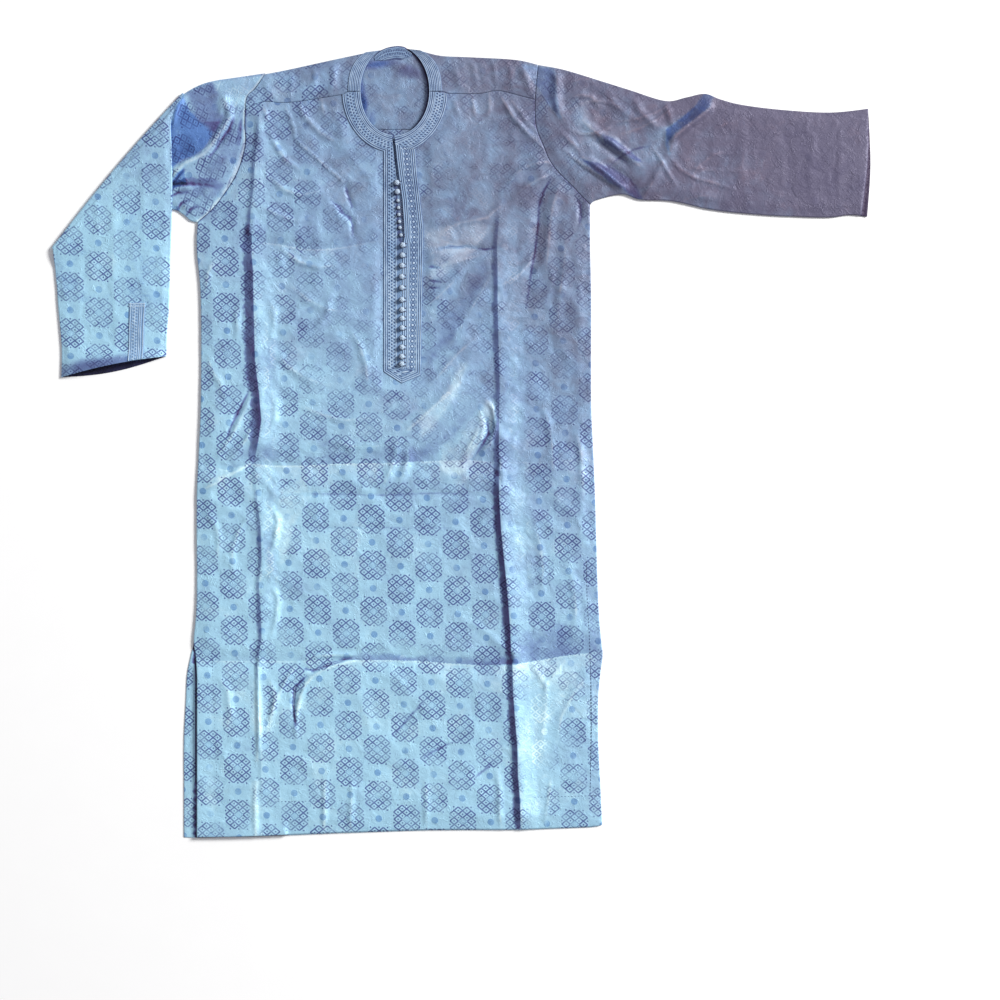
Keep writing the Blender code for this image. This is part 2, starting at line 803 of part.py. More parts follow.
def front_outline():
    """The front, anticlockwise from its right end of the yoke seam."""
    seam_right, seam_left = yoke_seam_right(-1), yoke_seam_left(-1)
    down = upright_part(armhole_right(1), seam_right[0].y, PAST_HEM)
    up = upright_part(armhole_left(-1), seam_left[-1].y, PAST_HEM)[::-1]
    front_side = side_path("front_right")[1:]
    hem_places = [front_side[-1].x] + [p.x for p in HEM[2:]]
    hem = [Vector((x, hem_height(x) + FRONT_HEM_SHORT)) for x in hem_places]
    body = down + front_side + hem + side_path("left")[::-1] + up[:-1]
    body = resampled(body + seam_left[::-1][:1], EDGE_STEP)
    rim_left = oval_arc(NECK_HOLE, 360.0, SLIT_TOP_LEFT, RIM_STEPS)
    rim_right = oval_arc(NECK_HOLE, SLIT_TOP_RIGHT, 180.0, RIM_STEPS)
    seam_left = resampled(seam_left[::-1], EDGE_STEP)[1:-1]
    seam_right = resampled(seam_right[::-1], EDGE_STEP)[1:-1]
    return body + seam_left + rim_left + slit_outline() + rim_right + seam_right


def border_arc(start, end, outline):
    """The outer edge of the front's neck border, starting on the front's outline."""
    return ends_on(oval_arc(FRONT_BORDER, start, end, RIM_STEPS), outline)


def make_front(cloth, border):
    """The front, with the embroidery that is worked on it."""
    outline = front_outline()
    top_right = on_oval(FRONT_BORDER, FRONT_BORDER_RIGHT)
    top_left = on_oval(FRONT_BORDER, FRONT_BORDER_LEFT)
    slit_right, slit_left = slit_half("right"), slit_half("left")
    arc_right = border_arc(FRONT_BORDER_SEAM_RIGHT, FRONT_BORDER_RIGHT, outline)
    arc_left = border_arc(FRONT_BORDER_SEAM_LEFT, FRONT_BORDER_LEFT, outline)
    arc_right[-1], arc_left[-1] = top_right, top_left
    point = Vector(PLACKET_POINT)
    edge_right = [top_right, *plain_path(PLACKET_RIGHT_EDGE), point]
    edge_left = [top_left, *plain_path(PLACKET_LEFT_EDGE), point]
    edge_right = resampled(edge_right, EDGE_STEP)
    edge_left = resampled(edge_left, EDGE_STEP)
    join = resampled(placket_join(), EDGE_STEP)
    across = [[top_right, slit_right[0]], [top_left, slit_left[0]]]
    sheet = Sheet()
    layer = sheet.add_layer(
        outline,
        front_height,
        1,
        lines=crease_lines(CREASES),
        ties=[arc_right, arc_left, edge_right, edge_left, join, *across],
    )
    sheet.solid("front", WALL, cloth)

    rim_right = oval_arc(NECK_HOLE, 180.0, SLIT_TOP_RIGHT, RIM_STEPS)
    rim_left = oval_arc(NECK_HOLE, 360.0, SLIT_TOP_LEFT, RIM_STEPS)
    regions = {
        "neck_border_front_right": arc_right + [slit_right[0]] + rim_right[::-1],
        "neck_border_front_left": arc_left + [slit_left[0]] + rim_left[::-1],
        "placket_right": edge_right + join[::-1] + slit_right[::-1],
        "placket_left": edge_left + join[::-1] + slit_left[::-1],
    }
    for name, region in regions.items():
        add_border(sheet, layer, region, name, border)


def make_left_sleeve(cloth):
    """A flat tube with its folds along the top and along the underarm seam."""
    armhole = armhole_left(1)
    top = [armhole[0], *plain_path(SLEEVE_TOP)]
    bottom = [armhole[-1], *plain_path(SLEEVE_BOTTOM)]
    cuff = plain_path(CUFF_EDGE)
    outline = armhole[:-1] + bottom + cuff + top[::-1][:-1]
    sheet = Sheet()
    lower = sheet.add_layer(outline, lower_height, -1)
    upper = sheet.add_layer(outline, sleeve_height, 1, lines=crease_lines(SLEEVE_CREASES))
    sheet.add_fold(top, lower, upper, 1)
    sheet.add_fold(bottom, lower, upper, -1)
    sheet.solid("sleeve_left", WALL, cloth)


def sunk(point, ends):
    """How far the forearm has come down past the upper arm's edge: 0 on it, 1 beside it."""
    under_from, under_to = ends
    along = under_to - under_from
    past = (along.x * (point.y - under_from.y) - along.y * (point.x - under_from.x))
    return eased((past / along.length - SINK_CLEAR) / SINK_REACH)


def tube_ring(sheet, centres, front_way, outs):
    """One ring round the flat tube: its front layer, one edge, its back layer, the other
    edge. centres lie between the layers, front_way points from back to front, and outs are
    the ways out over the first and the last centre."""
    radius = LAYER_STEP / 2
    ring = [sheet.add_point(c + front_way * radius, front_way) for c in centres]
    turns = ((1, centres[-1], outs[1], centres[::-1]), (-1, centres[0], outs[0], ()))
    for turn, centre, out, layer in turns:
        for step in range(1, FOLD_STEPS - 1):
            angle = math.pi * step / (FOLD_STEPS - 1)
            way = front_way * math.cos(angle) * turn + out * math.sin(angle)
            ring.append(sheet.add_point(centre + way * radius, way))
        ring += [sheet.add_point(c - front_way * radius, -front_way) for c in layer]
    return ring


def armhole_outs(points):
    """The ways out over the shoulder and under the arm, square to the sleeve's edges."""
    outer = Vector((UPPER_ARM[0].outer_x, UPPER_ARM[0].outer_y)) - points[0].xy
    under = Vector((UPPER_ARM[0].under_x, UPPER_ARM[0].under_y)) - points[-1].xy
    outer.normalize()
    under.normalize()
    return Vector((outer.y, -outer.x, 0.0)), Vector((-under.y, under.x, 0.0))


def station_centres(station, height):
    """Points across the tube on a station's line, and the ways out over its two edges."""
    outer = Vector((station.outer_x, station.outer_y, height))
    under = Vector((station.under_x, station.under_y, height))
    points = [outer.lerp(under, share) for share in ACROSS]
    across = (under - outer).normalized()
    return points, (-across, across)


def make_right_sleeve(cloth, border):
    """The tube folded back on itself: upper arm, the turn at the elbow, and forearm."""
    sheet = Sheet()
    rings = []
    flat, up = LOWER + LAYER_STEP / 2, Vector((0, 0, 1))

    first = [Vector((*point, flat)) for point in armhole_right(-1)]
    rings.append(tube_ring(sheet, first, up, armhole_outs(first)))
    for station in UPPER_ARM:
        centres, outs = station_centres(station, flat)
        ring = tube_ring(sheet, centres, up, outs)
        for i, share in zip(ring, ACROSS):
            place_in_crease = min(1.0, share / CREASE_SPAN)
            sheet.points[i].z += station.crease * math.sin(math.pi * place_in_crease)
        rings.append(ring)

    axis_height = LOWER + 1.5 * LAYER_STEP
    radius = axis_height - flat
    elbow, outs = station_centres(ELBOW, 0.0)
    out = Vector((outs[1].y, -outs[1].x, 0.0))
    for turn in range(ELBOW_TURNS + 1):
        angle = math.pi * turn / ELBOW_TURNS
        way = out * -math.sin(angle) + up * math.cos(angle)
        centres = []
        for point, share in zip(elbow, ACROSS):
            bowed = point + out * ELBOW_BOW * math.sin(math.pi * share)
            centres.append(Vector((bowed.x, bowed.y, axis_height)) - way * radius)
        rings.append(tube_ring(sheet, centres, way, outs))

    top = axis_height + radius
    under_start = Vector((UPPER_ARM[1].under_x, UPPER_ARM[1].under_y))
    under_edge = (under_start, Vector((ELBOW.under_x, ELBOW.under_y)))
    for station in FOREARM:
        centres, outs = station_centres(station, top)
        for centre in centres:
            centre.z -= sunk(centre.xy, under_edge) * (top - flat)
        rings.append(tube_ring(sheet, centres, -up, outs))
    for count, share in enumerate(ACROSS):
        front, back = rings[-1][count], rings[-1][back_place(count)]
        bow = math.sin(math.pi * share)
        sheet.points[front].y -= CUFF_UNDER_BOW * bow
        sheet.points[back].y += CUFF_TOP_BOW * bow
        sheet.points[back].z += CUFF_LIFT * bow

    sheet.add_strips(rings, closed=True)
    sheet.solid("sleeve_right", WALL, cloth)
    add_cuff_border(sheet, rings, border)


def back_place(count):
    """Where the back layer's point lies in a ring, for a place in ACROSS."""
    return 2 * len(ACROSS) + FOLD_STEPS - 3 - count


def add_cuff_border(sheet, rings, border):
    """The border on the right cuff: the back layer's points from one station to the cuff."""
    places = [back_place(n) for n, s in enumerate(ACROSS) if s in BORDER_ACROSS]
    places = range(min(places), max(places) + 1)
    bordered = rings[BORDER_FIRST_STATION - len(FOREARM):]
    rows = [[ring[i] for i in places] for ring in bordered]
    faces = []
    for here, there in zip(rows, rows[1:]):
        for i in range(len(here) - 1):
            faces.append([here[i], here[i + 1], there[i + 1], there[i]])
    part = sheet.part_above(faces, ON_PANEL, GAP / 2)
    part.solid("cuff_border_right", BORDER_WALL, border)


def make_buttons(finish):
    """Ball buttons in a row, each seated on the strip it is sewn to."""
    radius = BUTTON_DIAMETER / 2
    for number, height in enumerate(BUTTON_HEIGHTS, start=1):
        middle = Vector((button_line(height), height))
        seat = front_height(middle) + ON_PANEL + BORDER_WALL / 2 + GAP
        mesh = bmesh.new()
        bmesh.ops.create_uvsphere(
            mesh, u_segments=BUTTON_SEGMENTS, v_segments=BUTTON_RINGS, radius=radius * METRES
        )
        bmesh.ops.scale(mesh, vec=(1.0, 1.0, BUTTON_SQUASH), verts=mesh.verts[:])
        button = place(f"button_{number:02d}", mesh, finish)
        button.data.shade_smooth()
        centre = Vector((middle.x, middle.y, seat + radius * BUTTON_SQUASH))
        button.location = centre * METRES


def main():
    for thing in list(bpy.data.objects):
        bpy.data.objects.remove(thing, do_unlink=True)
    cloth = make_material("damask", DAMASK_BLUE, 0.5)
    border = make_material("embroidery", EMBROIDERY_BLUE, 0.6)
    braid = make_material("button_thread", BUTTON_BLUE, 0.5)
    make_back(cloth)
    make_yoke(cloth, border)
    make_front(cloth, border)
    make_left_sleeve(cloth)
    make_right_sleeve(cloth, border)
    make_buttons(braid)


main()
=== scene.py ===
"""A man's long kaftan tunic in blue damask, laid out flat on its back, front side up.

The cloth of each cut piece is a fine shell on the form of its CAD solid, with its pressed
folds, creases and crumples. The embroidery, the ball buttons and the stitches are worked on
it. Left and right are the wearer's, +X is the wearer's left, +Y runs from hem to neck, and
sizes are in millimetres until a mesh is written in metres.
"""

import math
from collections import namedtuple

import bpy
import numpy as np
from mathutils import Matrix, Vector, geometry, kdtree


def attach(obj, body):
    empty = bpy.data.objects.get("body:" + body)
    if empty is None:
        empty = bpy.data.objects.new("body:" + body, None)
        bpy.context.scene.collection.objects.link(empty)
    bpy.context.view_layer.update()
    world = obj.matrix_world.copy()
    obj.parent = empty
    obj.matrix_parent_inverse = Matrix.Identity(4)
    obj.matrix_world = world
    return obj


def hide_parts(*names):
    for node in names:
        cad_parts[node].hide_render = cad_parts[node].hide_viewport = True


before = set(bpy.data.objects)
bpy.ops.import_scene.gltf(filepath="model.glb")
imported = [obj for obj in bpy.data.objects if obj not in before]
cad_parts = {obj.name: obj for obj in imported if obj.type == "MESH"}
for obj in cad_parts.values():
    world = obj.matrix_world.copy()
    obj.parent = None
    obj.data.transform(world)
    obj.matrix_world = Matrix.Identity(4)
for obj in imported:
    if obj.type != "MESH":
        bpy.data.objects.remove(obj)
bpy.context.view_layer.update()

METRES = 0.001

# ------------------------------------------------------- the part's own sizes

WALL = 1.2
GAP = 0.3
LAYER_STEP = WALL + GAP
BACK_TOP = WALL
FRONT_TOP = WALL + LAYER_STEP
FOLD_MIDDLE = LAYER_STEP / 2 + WALL / 2

Point = namedtuple("Point", "x y")
Oval = namedtuple("Oval", "half_width above below power")

NECK_CENTRE = Vector((-95.8, 500.5))
NECK_HOLE = Oval(48.8, 65.8, 62.9, 2.0)
YOKE_BORDER = Oval(66.9, 64.4, 64.4, 2.6)
FRONT_BORDER = Oval(75.8, 87.9, 87.9, 2.0)
NECK_FOLD_RIGHT, NECK_FOLD_LEFT = 116.0, 68.5
YOKE_BORDER_RIGHT, YOKE_BORDER_LEFT = 122.5, 63.8
FRONT_BORDER_SEAM_RIGHT, FRONT_BORDER_SEAM_LEFT = 183.0, 358.0
FRONT_BORDER_RIGHT, FRONT_BORDER_LEFT = 257.4, 291.0
SLIT_TOP_RIGHT, SLIT_TOP_LEFT = 265.0, 269.3
NECK_RISE, NECK_RISE_REACH, NECK_RISE_START = 4.5, 75.0, 60.0
PAST_TOP, PAST_HEM = 1000.0, -1000.0
NECK_PARTS = 36
RIM_SHARES = (0.90, 0.945, 0.985)

SHOULDER_RIGHT = (
    Point(-281.7, 525.8), Point(-248.8, 532.0), Point(-187.3, 545.5), Point(-137.3, 556.1),
)
SHOULDER_LEFT = (
    Point(-60.1, 559.1), Point(-30.0, 552.0), Point(11.4, 550.0), Point(75.8, 546.3),
)
BACK_NECKLINE = (Point(-82.9, 565.0), Point(-93.0, 566.3), Point(-105.8, 564.2))
ARMHOLE_RIGHT = (
    Point(-281.7, 525.8), Point(-296.0, 504.8), Point(-308.0, 491.9), Point(-310.7, 454.7),
    Point(-309.5, 430.4), Point(-314.6, 404.7), Point(-323.8, 380.4), Point(-337.5, 358.2),
    Point(-356.6, 333.2), Point(-377.5, 314.6),
)
ARMHOLE_LEFT = (
    Point(108.7, 539.1), Point(104.4, 489.1), Point(105.8, 451.9), Point(115.1, 426.1),
    Point(130.1, 394.7), Point(158.7, 364.7), Point(183.0, 338.9),
)
YOKE_SEAM_RIGHT = (
    Point(-307.9, 474.8), Point(-284.6, 486.2), Point(-250.3, 484.8), Point(-187.3, 493.4),
)
YOKE_SEAM_LEFT = (
    Point(22.9, 497.6), Point(51.5, 501.9), Point(82.2, 494.8), Point(104.4, 489.1),
)
BACK_SEAM_HEIGHT, UNDERARM_HEIGHT = 446.5, 330.0

Side = namedtuple("Side", "y front_right back_right left")
SIDES = (
    Side(314.6, -377.5, -377.5, 183.0),
    Side(274.6, -379.0, -379.0, 183.0),
    Side(203.1, -373.2, -373.2, 184.5),
    Side(60.1, -373.2, -373.2, 184.5),
    Side(-11.4, -376.0, -376.0, 187.3),
    Side(-82.9, -379.0, -379.0, 190.2),
    Side(-225.9, -379.0, -379.0, 194.5),
    Side(-283.1, -383.2, -383.2, 198.8),
    Side(-304.6, -380.5, -387.5, 200.9),
    Side(-333.0, -378.4, -393.0, 197.3),
    Side(-368.9, -378.4, -394.7, 194.5),
    Side(-426.1, -378.4, -397.5, 194.5),
    Side(-483.3, -378.4, -397.5, 197.3),
)
HEM = (
    Point(-397.5, -565.0), Point(-378.4, -565.8), Point(-300.0, -564.3),
    Point(-174.5, -559.1), Point(-45.8, -554.9), Point(84.0, -554.4),
    Point(185.9, -550.6), Point(200.2, -547.7),
)
FRONT_HEM_SHORT = 1.5
# The right vent is below VENT_TOP, where the front's edge stands off the back.
VENT_SIDE, VENT_TOP, VENT_LIFT = -250.0, -300.0, 3.0
VENT_START, VENT_REACH = 30.0, 24.0

Slit = namedtuple("Slit", "y right left")
SLIT = (
    Slit(424.0, -98.6, -95.4),
    Slit(401.8, -96.5, -93.3),
    Slit(374.6, -93.2, -89.8),
    Slit(346.1, -91.5, -85.8),
    Slit(310.0, -89.0, -83.4),
    Slit(292.0, -86.6, -83.0),
)
SLIT_END = Point(-84.4, 284.0)
PLACKET_RIGHT_EDGE = (Point(-112.3, 409.0), Point(-112.3, 100.1))
PLACKET_LEFT_EDGE = (
    Point(-66.2, 417.6), Point(-63.6, 383.2), Point(-57.2, 327.5),
    Point(-54.6, 303.0), Point(-56.5, 204.5), Point(-58.6, 95.2),
)
PLACKET_POINT = Point(-86.4, 83.5)
PLACKET_JOIN = (Point(-86.0, 240.0), Point(-85.4, 150.0))
STITCH, STITCH_GAP, STITCH_RADIUS, STITCH_TONE = 3.2, 1.6, 0.42, -0.75
# The hem, the right vent's facing and the left vent's.
STITCH_ROWS = (
    (Point(-379.0, -513.0), Point(-320.0, -514.5), Point(-250.0, -513.5),
     Point(-120.0, -511.5), Point(40.0, -509.0), Point(120.0, -507.0), Point(194.0, -505.0)),
    (Point(-357.0, -300.0), Point(-354.0, -380.0), Point(-351.0, -460.0),
     Point(-349.0, -513.0)),
    (Point(178.0, -170.0), Point(179.0, -225.0), Point(183.0, -300.0), Point(185.0, -400.0),
     Point(183.0, -505.0)),
)
BACK_BORDER_LOW = (
    Point(-130.0, 545.5), Point(-90.0, 545.5), Point(-75.0, 550.0), Point(-66.0, 553.5),
)
PLACKET_MIDDLE, PLACKET_HALF, PLACKET_TOP, PLACKET_BOTTOM = -84.0, 28.0, 430.0, 90.0
BUTTON_DIAMETER, BUTTON_SQUASH = 7.6, 0.86
SMALL_BALL, SMALL_BUTTONS = 0.64, range(2, 8)
BALL_SEGMENTS, BALL_RINGS = 24, 14
# The loops' dark tone is painted shade on the left of each button.
LOOP_TAIL, LOOP_CORD, LOOP_SHADE = 6.0, 0.62, -1.1
BUTTON_HEIGHTS = (
    370.0, 357.2, 344.6, 334.5, 324.6, 314.6, 306.0, 295.3, 281.0, 266.6,
    251.8, 235.9, 220.2, 203.1, 188.8, 176.4, 162.8, 148.6, 135.2, 122.0, 111.3,
)

SLEEVE_TOP = (
    Point(145.9, 532.0), Point(193.1, 517.7), Point(238.8, 503.4), Point(290.3, 487.6),
    Point(320.0, 492.5), Point(347.0, 497.8), Point(368.9, 490.0), Point(400.0, 482.0),
    Point(457.6, 474.8), Point(526.0, 471.0), Point(580.6, 476.5),
)
SLEEVE_BOTTOM = (
    Point(193.0, 346.1), Point(229.0, 354.0), Point(255.0, 346.1), Point(301.0, 344.0),
    Point(357.5, 331.8), Point(426.1, 324.6), Point(483.3, 321.7), Point(526.0, 320.9),
    Point(554.8, 324.5), Point(579.2, 321.8),
)
CUFF_EDGE = (Point(584.0, 396.0),)

Station = namedtuple("Station", "outer_x outer_y under_x under_y")
UPPER_ARM = (
    Station(-301.0, 523.0, -387.5, 317.5),
    Station(-332.0, 518.5, -406.1, 331.8),
    Station(-352.0, 515.5, -425.0, 333.0),
    Station(-370.0, 511.0, -455.0, 321.0),
    Station(-386.0, 504.0, -530.0, 294.5),
)
ELBOW = Station(-398.2, 496.2, -583.4, 276.6)
FOREARM = (
    Station(-415.4, 460.5, -582.4, 263.1),
    Station(-415.4, 417.6, -580.6, 248.8),
    Station(-414.7, 367.5, -579.2, 234.5),
    Station(-416.1, 310.3, -577.8, 221.7),
    Station(-418.3, 253.1, -577.0, 210.2),
    Station(-419.7, 198.8, -576.3, 198.8),
    Station(-422.6, 163.0, -572.8, 160.2),
    Station(-423.6, 136.9, -570.6, 128.7),
    Station(-424.0, 122.4, -571.5, 92.8),
)
ELBOW_BOW = 4.0
SINK_CLEAR, SINK_REACH = 3.0, 26.0
CUFF_TOP_BOW, CUFF_UNDER_BOW = 3.0, 7.0
CUFF_LIFT, CUFF_RINGS = 8.5, 14.0
CUFF_MOUTH = 9.0
UPPER_ARM_ROOM = 0.4
CUFF_BORDER_SHARES = (0.206, 0.357)
CUFF_BORDER_TOP = 198.8

# ------------------------------------------------------- folds and creases
# A fold is a line of knots in plan, each with how far the cloth rises there (less than 0 in
# a trough). left and right are how far its flanks reach on either side of the way it runs.

Fold = namedtuple("Fold", "left right knots")
SOFT_EDGE, SHARP_EDGE = 0.22, 0.10
NARROW = 17.0

# A press line parts two panels that take the light differently, with painted light and shade
# on either side. It runs from left to right, its knots say how strong it is, and each side has
# its tone beside the line and how far that reaches.
Press = namedtuple("Press", "above above_reach below below_reach knots")
PRESS_LINES = (
    Press(-0.30, 30, 0.14, 24, (
        (-302, 280, 0.6), (-282, 285, 1.0), (-259, 282, 1.0), (-232, 277, 1.0), (-202, 275, 1.0),
        (-166, 279, 1.0), (-137, 285, 0.8), (-114, 289, 0.4),
    )),
    Press(0.05, 26, 0.34, 20, (
        (-37, 292, 0.6), (-17, 284, 1.0), (6, 279, 1.0), (34, 277, 0.8), (54, 280, 0.4),
    )),
    Press(-0.26, 36, 0.34, 30, (
        (-366, -34, 0.3), (-335, -40, 0.6), (-303, -31, 0.8), (-267, -34, 1.0), (-233, -34, 1.1),
        (-174, -31, 1.1), (-103, -30, 1.1), (-37, -27, 1.0), (11, -26, 0.8), (48, -29, 0.6),
        (110, -28, 0.3), (186, -24, 0.2),
    )),
    Press(-0.20, 16, 0.26, 26, (
        (-380, -313, 0.4), (-339, -313, 0.8), (-293, -313, 0.8), (-246, -313, 0.7),
        (-203, -312, 0.5),
    )),
    Press(-0.80, 11, 0.30, 16, (
        (-172, -312, 0.7), (-157, -312, 1.0), (-103, -312, 1.0), (-60, -313, 1.0),
        (-10, -317, 0.9), (29, -319, 0.8), (70, -317, 0.8),
    )),
    Press(-0.60, 46, 0.42, 40, (
        (77, -317, 1.0), (112, -312, 1.0), (144, -306, 1.0), (176, -302, 0.8), (199, -299, 0.4),
    )),
)
PRESSED_FOLDS = (
    Fold(26, 7, (
        (-286, 503, 0), (-289, 475, 0.8), (-290, 445, 1.6), (-295, 408, 2.0), (-297, 365, 2.2),
        (-302, 323, 2.0), (-303, 300, 2.6),
    )),
    Fold(32, 13, (
        (-300, 302, 1.6), (-300, 267, 3.8), (-298, 246, 4.2), (-297, 193, 4.4), (-295, 116, 4.2),
        (-289, 67, 4.8), (-286, 31, 5.0), (-290, 3, 4.2), (-295, -20, 1.6),
    )),
    Fold(22, 7, (
        (-295, -46, 0.8), (-292, -83, 1.8), (-287, -123, 2.4), (-286, -169, 2.6),
        (-290, -203, 2.0), (-287, -240, 2.2), (-286, -280, 2.6), (-290, -306, 1.6),
    )),
    Fold(14, 5, (
        (-292, -317, 2.8), (-290, -355, 1.6), (-289, -412, 1.5), (-287, -460, 1.3),
        (-286, -512, 0.4), (-286, -559, 0.2),
    )),
    Fold(28, 9, (
        (53, 346, 0.4), (53, 319, 1.4), (50, 282, 2.2), (51, 246, 2.6), (51, 193, 3.0),
        (53, 116, 2.6), (54, 76, 2.4), (53, 40, 3.0), (53, -11, 3.4), (54, -40, 3.0),
    )),
    Fold(30, 8, (
        (53, -46, 3.4), (53, -77, 5.0), (56, -126, 5.4), (59, -157, 6.0), (64, -204, 6.2),
        (66, -227, 5.6), (69, -269, 4.6), (70, -300, 4.4),
    )),
    Fold(26, 8, (
        (72, -317, 4.2), (73, -355, 4.2), (76, -398, 5.2), (79, -433, 5.8), (80, -476, 5.4),
        (83, -512, 5.4), (84, -556, 5.6),
    )),
)
